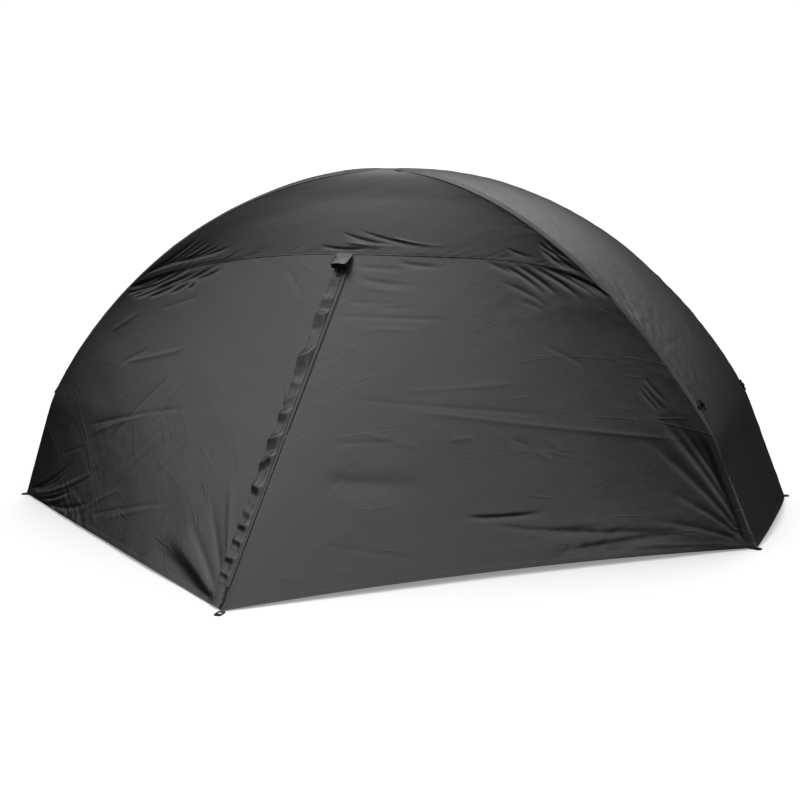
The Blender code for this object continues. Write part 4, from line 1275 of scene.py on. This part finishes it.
def make_flap(side, turn, door):
    """Storm flap, sewn along the right door's edge and over the zip, with a buckled free edge."""
    cloth = flap_cloth(side, door)
    over, ups = cloth.overs[None], cloth.ups
    height, place, spread = FLAP_RIB
    rib = height * np.exp(-(((over - place) / spread) ** 2))
    cloth.height += FLAP_LIFT + rib + FLAP_RISE * over
    length = np.linalg.norm(ZIP_TOP - STAKED_CORNER)
    droop = 1 - FLAP_DROOP * smoothstep((over - 0.75) / 0.25)
    bridge = smoothstep((over - FLAP_SEAM) / 0.25) * droop
    for place, depth, below, above, slant in BUCKLES:
        if side == "back":
            place += cloth.random.uniform(-BUCKLE_SHIFT, BUCKLE_SHIFT)
        aslant = FLAP_SLANT * slant * np.clip(over - 0.5, -0.2, None)
        away = (ups - place)[:, None] * length + aslant
        slope = np.clip(1 - np.where(away < 0, -away / below, away / above), 0, 1)
        cloth.height += BUCKLE_SCALE * depth * bridge * slope**BUCKLE_SHARPNESS
    depth, size = FLAP_HILLS
    hills = depth * cloth.hills(size) * bridge
    depth, size = FLAP_CRUMPLES
    cloth.height += hills + depth * bridge * cloth.crumple(size)
    cloth.height = np.maximum(cloth.height, FLAP_CLEARANCE)
    cloth.height += FLAP_STEP * (over < FLAP_SEAM)
    cloth.fold_over("right", *FLAP_FREE_HEM)
    sideways = unit(cloth.points[:, -1] - cloth.points[:, 0])[:, None]
    depth, size = FLAP_WAVES
    wave = depth * cloth.hills(size) * over**2
    cloth.points = cloth.points + sideways * wave[..., None]
    thing = sheet_mesh(f"cloth_storm_flap_{side}", cloth, turn, "flap")
    keep(thing, "fly_fabric", f"storm_flap_{side}")
    along = np.linspace(*FLAP_ENDS, 400)
    rows = [
        sewn(f"flap_stitch_{side}_{n}", cloth, edge, distance, along, turn, 0.0002, radius)
        for n, (edge, distance, radius) in enumerate(FLAP_STITCHES)
    ]
    size = (float(np.mean(cloth.across[:, -1])), float(np.mean(cloth.up[-1])))


def make_roof_seam(side, turn, roof, left, right):
    """Felled seam between the roof and the doors, with two rows of stitches."""
    reach = TAPE_END * np.linspace(-1, 1, 900 if side == "front" else 500)
    on_left, on_right = reach[reach < ZIP_EDGE_ACROSS], reach[reach > ZIP_TOP_ACROSS]
    left_over = (on_left - ZIP_EDGE_ACROSS) / (-1 - ZIP_EDGE_ACROSS)
    right_over = (on_right - ZIP_TOP_ACROSS) / (1 - ZIP_TOP_ACROSS)
    reach = np.concatenate([on_left, on_right])
    lines = []
    for distance, lift in TAPE_LINES:
        first = left.beside("high", distance, left_over, lift)[0]
        second = right.beside("high", distance, right_over, lift)[0]
        lines.append(np.concatenate([first, second]))
    for distance, lift in (TAPE_CREST, *TAPE_LINES[::-1]):
        lines.append(roof.beside("low", distance, reach, lift)[0])
    cloth = Cloth(np.array(lines), reach, np.linspace(0, 1, 7), SEEDS["tape"])
    middle = np.array([0, 0, 0.5, 1, 0.5, 0, 0])[:, None]
    cloth.height += 0.0005 * middle * cloth.random.uniform(-1, 1, (1, len(reach)))
    thing = sheet_mesh(f"cloth_seam_{side}", cloth, turn, "roof")
    keep(thing, "fly_fabric", f"seam_tape_{side}")
    rows = [
        sewn(f"seam_stitch_{side}_{n}", roof, "low", distance, reach, turn, TAPE_STITCH_RISE)
        for n, distance in enumerate(TAPE_STITCHES)
    ]
    return [thing, *rows]


def round_edge(grid):
    """Points up one side of a grid, along its last row and down its other side."""
    return np.concatenate([grid[:, 0], grid[-1, 1:-1], grid[:, -1][::-1]])


def make_hood(side, turn):
    """Stiff visor over the zip's top: a sewn flange, a plate that stands out and a bound lip."""
    seam = roof_point(HOOD_X / (LENGTH / 2 * SEAM_SHARE), SEAM_SHARE)
    up_door = unit((seam - STAKED_CORNER) * [0, 1, 1])
    seat = seam - up_door * HOOD_DROP
    outward = unit(np.cross(RIGHT, up_door))
    out = np.array([0, -math.cos(HOOD_DROOP), -math.sin(HOOD_DROOP)])
    over = facing(unit(np.cross(out, RIGHT)), UP)
    fold = seat + outward * HOOD_SEAT
    top = fold + outward * HOOD_THICKNESS / 2 + over * HOOD_THICKNESS / 2
    straight = HOOD_REACH - HOOD_CORNER
    runs = [-HOOD_FLANGE, -0.006, -0.003, -0.001, 0.001, 0.003, 0.007]
    runs += list(np.linspace(0.012, straight, 12))
    corner = np.linspace(0.15, math.pi / 2, 9)
    runs += [HOOD_REACH - HOOD_CORNER * (1 - math.sin(angle)) for angle in corner]
    columns = np.linspace(-1, 1, 17)
    grid = np.empty((len(runs), len(columns), 3))
    for i, run in enumerate(runs):
        bend = smoothstep((run + 0.004) / 0.008)
        spine = top + (up_door * max(-run, 0) if run < 0 else out * run)
        spine = spine - over * HOOD_ROUNDING * (1 - abs(2 * bend - 1))
        rounding = math.sqrt(max(HOOD_CORNER**2 - max(run - straight, 0) ** 2, 0))
        half = HOOD_WIDTH / 2 - HOOD_CORNER + rounding
        for j, column in enumerate(columns):
            arch = HOOD_ARCH * (1 - column**2) * smoothstep(run / 0.02)
            grid[i, j] = spine + np.array([column * half, 0, 0]) + over * arch
    normals = np.cross(np.gradient(grid, axis=1), np.gradient(grid, axis=0))
    lower = grid - facing(unit(normals), over) * HOOD_THICKNESS * 0.8
    rings = np.concatenate([grid, lower[:, ::-1]], axis=1) * turn
    # The plate's lighter grey cloth is a painted highlight for its lit top
    plate = loft(f"hood_plate_{side}", rings, "hood")
    keep(plate, "hood_plastic", f"hood_tab_{side}")
    edge = round_edge(grid[5:]) - over * BINDING_SINK
    binding = (edge * turn, over * turn, BINDING_WIDTH, BINDING_THICKNESS, "webbing")
    keep(strap(f"hood_binding_{side}", *binding), "webbing")
    lip = round_edge(grid[12:])
    drop = np.sin(np.linspace(0, math.pi, len(lip)))[:, None] ** 0.5
    lip = lip - over * (LIP_SINK + HOOD_LIP / 2) * drop - out * LIP_INSET
    widths = HOOD_LIP * drop[:, 0] + 0.001
    visor = strap(f"hood_lip_{side}", lip * turn, over * turn, widths, LIP_THICKNESS, "tape")
    keep(visor, "fly_fabric")
    path = round_edge(grid[6:-1, 2:-2]) + over * 0.0001
    stitched(f"hood_stitch_{side}", path * turn, np.broadcast_to(over, path.shape) * turn)


def make_side(side):
    """Roof, doors, zip, flap, seam and hood of one long side."""
    turn, seed = TURNS[side], SEEDS[side]
    left = door_cloth(LEFT_DOOR, side, seed)
    right = door_cloth(RIGHT_DOOR, side, seed + 1)
    roof = roof_cloth(side, seed + 2)
    fold_left_door(left)
    fold_right_door(right)
    fold_roof(roof)
    seam = make_roof_seam(side, turn, roof, left, right)
    fastening = make_zip(side, turn)
    along = np.linspace(0.002, 0.998, 500)
    hems = [
        sewn(f"hem_stitch_{side}_{name}", cloth, "low", HEM_SEAM, along, turn)
        for name, cloth in (("left", left), ("right", right))
    ]
    panel_sheet(f"door_{side}_left", left, turn, "left")
    panel_sheet(f"door_{side}_right", right, turn, "right")
    panel_sheet(f"roof_{side}", roof, turn, "roof", pointed=True)
    make_flap(side, turn, left)
    make_hood(side, turn)


def make_end(side):
    turn = TURNS["front" if side == "right" else "back"]
    cloth = end_cloth(side)
    fold_end(cloth, END_BELLIES[side])
    along, across = np.linspace(0.004, 0.985, 700), np.linspace(-0.97, 0.97, 200)
    rows = [
        sewn(f"ridge_stitch_{side}_{edge}", cloth, edge, RIDGE_SEAM, along, turn)
        for edge in ("left", "right")
    ]
    rows.append(sewn(f"hem_stitch_{side}", cloth, "low", HEM_SEAM, across, turn))
    panel_sheet(f"end_panel_{side}", cloth, turn, "end", pointed=True)


# Poles, feet, ground tabs and guy loops


def pole_half(side_x, side_y):
    """Centre line of half a pole, from its foot to the crown, inside the ridge.

    The pole from the front right to the back left passes under the other one.
    """
    rows = shares_between(CORNER_SHARE, 0.0, POLE_STEP)
    turn = TURNS["back" if side_y > 0 else "front"]
    front_x = side_x if side_y < 0 else -side_x
    line, way = ridge(side_x, side_y, rows), ridge_way(side_x, side_y, rows)
    normals = []
    for inward in (side_way(front_x, rows) * turn, end_way(front_x, rows) * turn):
        normal = np.cross(way, inward)
        outward = np.sum(normal * (line - MIDDLE), -1, keepdims=True) > 0
        normals.append(np.where(outward, normal, -normal))
    shared = unit(normals[0] + normals[1])
    lean = np.maximum(np.sum(shared * normals[0], -1), 0.35)
    down_leg = np.clip((rows - ELBOW_SHARE) / (1 - ELBOW_SHARE), 0, 1)
    depth = (lerp(POLE_RADIUS, FOOT_RADIUS + GAP, down_leg) + 2 * GAP + SKIN) / lean
    if side_x * side_y < 0:
        near = np.exp(-((np.hypot(line[:, 0], line[:, 1]) / CROSSING_REACH) ** 2))
        depth += (2 * POLE_RADIUS + HUB_THICKNESS + 2 * GAP + CROSSING_ROOM) * near
    inset = shared * depth[:, None]
    window = np.exp(-(np.linspace(-2, 2, 2 * POLE_BLUR + 1) ** 2))
    window = window / window.sum()
    padded = np.pad(inset, ((POLE_BLUR, POLE_BLUR), (0, 0)), "edge")
    smooth = [np.convolve(padded[:, axis], window, "valid") for axis in range(3)]
    return line - np.stack(smooth, -1)


def leg_line(path):
    """Foot of the leg's centre line on the ground, and the leg's direction."""
    way = unit(path[LEG_POINTS] - path[0])
    return path[0] - way * path[0][2] / way[2], way


def make_pole(name, halves):
    """Pole from foot to foot, with the ferrules that join its sections."""
    ends = []
    for path in halves:
        ground, way = leg_line(path)
        start = ground + way * (FOOT_TOP + GAP) / way[2]
        above = path[path[:, 2] > start[2] + 0.02]
        ends.append(np.concatenate([lerp(start, above[0], np.linspace(0, 1, 6)[:-1, None]), above]))
    middle = (ends[0][-1] + ends[1][-1]) / 2
    path = np.concatenate([ends[0][:-1], [middle], ends[1][:-1][::-1]])
    run = run_along(path)
    fine = np.linspace(0, run[-1], POLE_POINTS)
    path = sampled(fine, run, path)
    side = unit(np.cross(path[-1] - path[0], UP))
    keep(tube(f"tube_{name}", path, POLE_RADIUS, side, "alloy"), "pole_alloy", name)
    count = int(fine[-1] / POLE_SECTION)
    radii = np.array([POLE_RADIUS, *[FERRULE_RADIUS] * 7, POLE_RADIUS])
    for n in range(1, count + 1):
        centre = fine[-1] * n / (count + 1)
        spots = np.linspace(centre - FERRULE_LENGTH / 2, centre + FERRULE_LENGTH / 2, 9)
        piece = sampled(spots, fine, path)
        keep(tube(f"ferrule_{name}_{n}", piece, radii, side, "alloy"), "pole_alloy")


def make_foot(corner, path):
    """Pole end: a pin through the ground tab, a shoulder on it and a ribbed sleeve on the leg."""
    ground, way = leg_line(path)
    start = SLEEVE_START * (TAB_THICKNESS + GAP)
    base = ground + way * start / way[2]
    levels = [(GAP, 0.0022), (0.0010, PIN_RADIUS), (TAB_THICKNESS + GAP, PIN_RADIUS)]
    levels += [(TAB_THICKNESS + GAP, FOOT_RADIUS - 0.0006), (TAB_THICKNESS + 0.0009, FOOT_RADIUS)]
    angles = round_angles(24)[:, None]
    cos, sin = np.cos(angles), np.sin(angles)
    rings = []
    for height, radius in (*levels, (start, FOOT_RADIUS)):
        centre = np.array([base[0], base[1], height])
        rings.append(centre + radius * (cos * [1, 0, 0] + sin * [0, 1, 0]))
    u = square_to(RIGHT, way)
    v = np.cross(way, u)
    for height, share in SLEEVE:
        rings.append(ground + way * height / way[2] + FOOT_RADIUS * share * (cos * u + sin * v))
    keep(loft(f"foot_{corner}", rings, "plastic"), "black_plastic", f"pole_foot_{corner}")
    return base


def make_tab(name, node, centre, way, reach, hole):
    """Webbing tab on the ground with an eyelet and a bar of stitches on each side of it."""
    centre = np.array([centre[0], centre[1], 0.0])
    keep(ring_plate(name, centre, way, reach, TAB_WIDTH / 2, hole, "webbing"), "webbing", node)
    keep(eyelet(f"eyelet_{name}", centre, hole - 0.0002, "steel"), "slider_metal")
    way, side = on_ground(way)
    for n, place in enumerate(TACK_PLACES):
        ends = np.array([-TACK_HALF, TACK_HALF])[:, None]
        path = centre + way * place + side * ends + UP * TAB_THICKNESS
        path = lerp(path[0], path[1], np.linspace(0, 1, 20)[:, None])
        stitched(f"tack_{name}_{n}", path, np.broadcast_to(UP, path.shape))


def make_guy(corner, side_x, side_y):
    """Webbing loop sewn to the ridge, laid over the end panel and curled around a bar."""
    turned_pair = side_x * side_y < 0
    share = GUY_SHARES[turned_pair]
    rows = np.array([share, share - RIDGE_STEP])
    turn = np.array([side_x, -side_y, 1.0])
    line, way, over = ridge(1, -1, rows)[0], ridge_way(1, -1, rows)[0], end_way(1, rows)[0]
    normal = facing(unit(np.cross(way, over)), line - MIDDLE)
    eye = BAR_RADIUS + GAP + GUY_THICKNESS / 2
    lie = SKIN + 2 * GAP + GUY_THICKNESS / 2 + GUY_ROOM
    belly = END_BELLIES["right" if side_x > 0 else "left"]
    rise = GUY_RISE * belly * GUY_RISE_PARTS[turned_pair]
    path = [(x, lie + rise * x / GUY_STEM) for x in np.linspace(0.003, GUY_STEM - 0.001, 8)]
    lie += rise
    for angle in np.radians(np.linspace(*GUY_CURL, 28)):
        path.append((GUY_STEM + eye * math.cos(angle), lie + eye + eye * math.sin(angle)))
    points = np.array([(line + over * x + normal * y) * turn for x, y in path])
    loop = strap(f"loop_{corner}", points, way * turn, GUY_WIDTH, GUY_THICKNESS, "webbing")
    keep(loop, "webbing", f"guy_loop_{corner}")
    centre = (line + over * GUY_STEM + normal * (lie + eye)) * turn
    half = BAR_LENGTH / 2
    profile = [(-half + along, radius) for along, radius in (*BAR_END, BAR_WAIST)]
    profile += [(-along, radius) for along, radius in profile[::-1]]
    bar = turned(f"bar_{corner}", centre, way * turn, profile, 20, "plastic")
    keep(bar, "black_plastic", f"guy_bar_{corner}")


def make_frame():
    paths = {}
    for corner, side_x, side_y in CORNERS:
        paths[corner] = pole_half(side_x, side_y)
        base = make_foot(corner, paths[corner])
        way = (side_x, TAB_TURN * side_y)
        make_tab(f"tab_{corner}", f"corner_tab_{corner}", base, way, TAB_REACH, TAB_HOLE)
        make_guy(corner, side_x, side_y)
    make_pole("pole_a", (paths["front_left"], paths["back_right"]))
    make_pole("pole_b", (paths["front_right"], paths["back_left"]))
    top = HEIGHT - SKIN - 2 * GAP - 2 * POLE_RADIUS - GAP - HUB_ROOM
    wide, narrow = HUB_RADIUS, HUB_RADIUS - HUB_GROOVE
    profile = [(0, narrow), (0.0004, wide), (0.0011, wide), (0.0013, narrow)]
    profile += [(0.0017, narrow), (0.0019, wide), (0.0026, wide), (HUB_THICKNESS, narrow)]
    hub = turned("hub", UP * (top - HUB_THICKNESS), UP, profile, 48, "plastic")
    keep(hub, "black_plastic", "pole_hub")
    for side, turn in TURNS.items():
        stake = (STAKED_CORNER + [0, -STAKE_OFFSET, 0]) * turn
        name, node, way = f"stake_tab_{side}", f"stake_loop_{side}", np.array([0, -1.0]) * turn[:2]
        make_tab(name, node, stake, way, STAKE_REACH, STAKE_HOLE)


make_camera()
make_stage()
for side in ("front", "back"):
    make_side(side)
    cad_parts[f"zip_slider_{side}"].data.materials[0] = LOOKS["metal"]
for side in ("right", "left"):
    make_end(side)
make_frame()
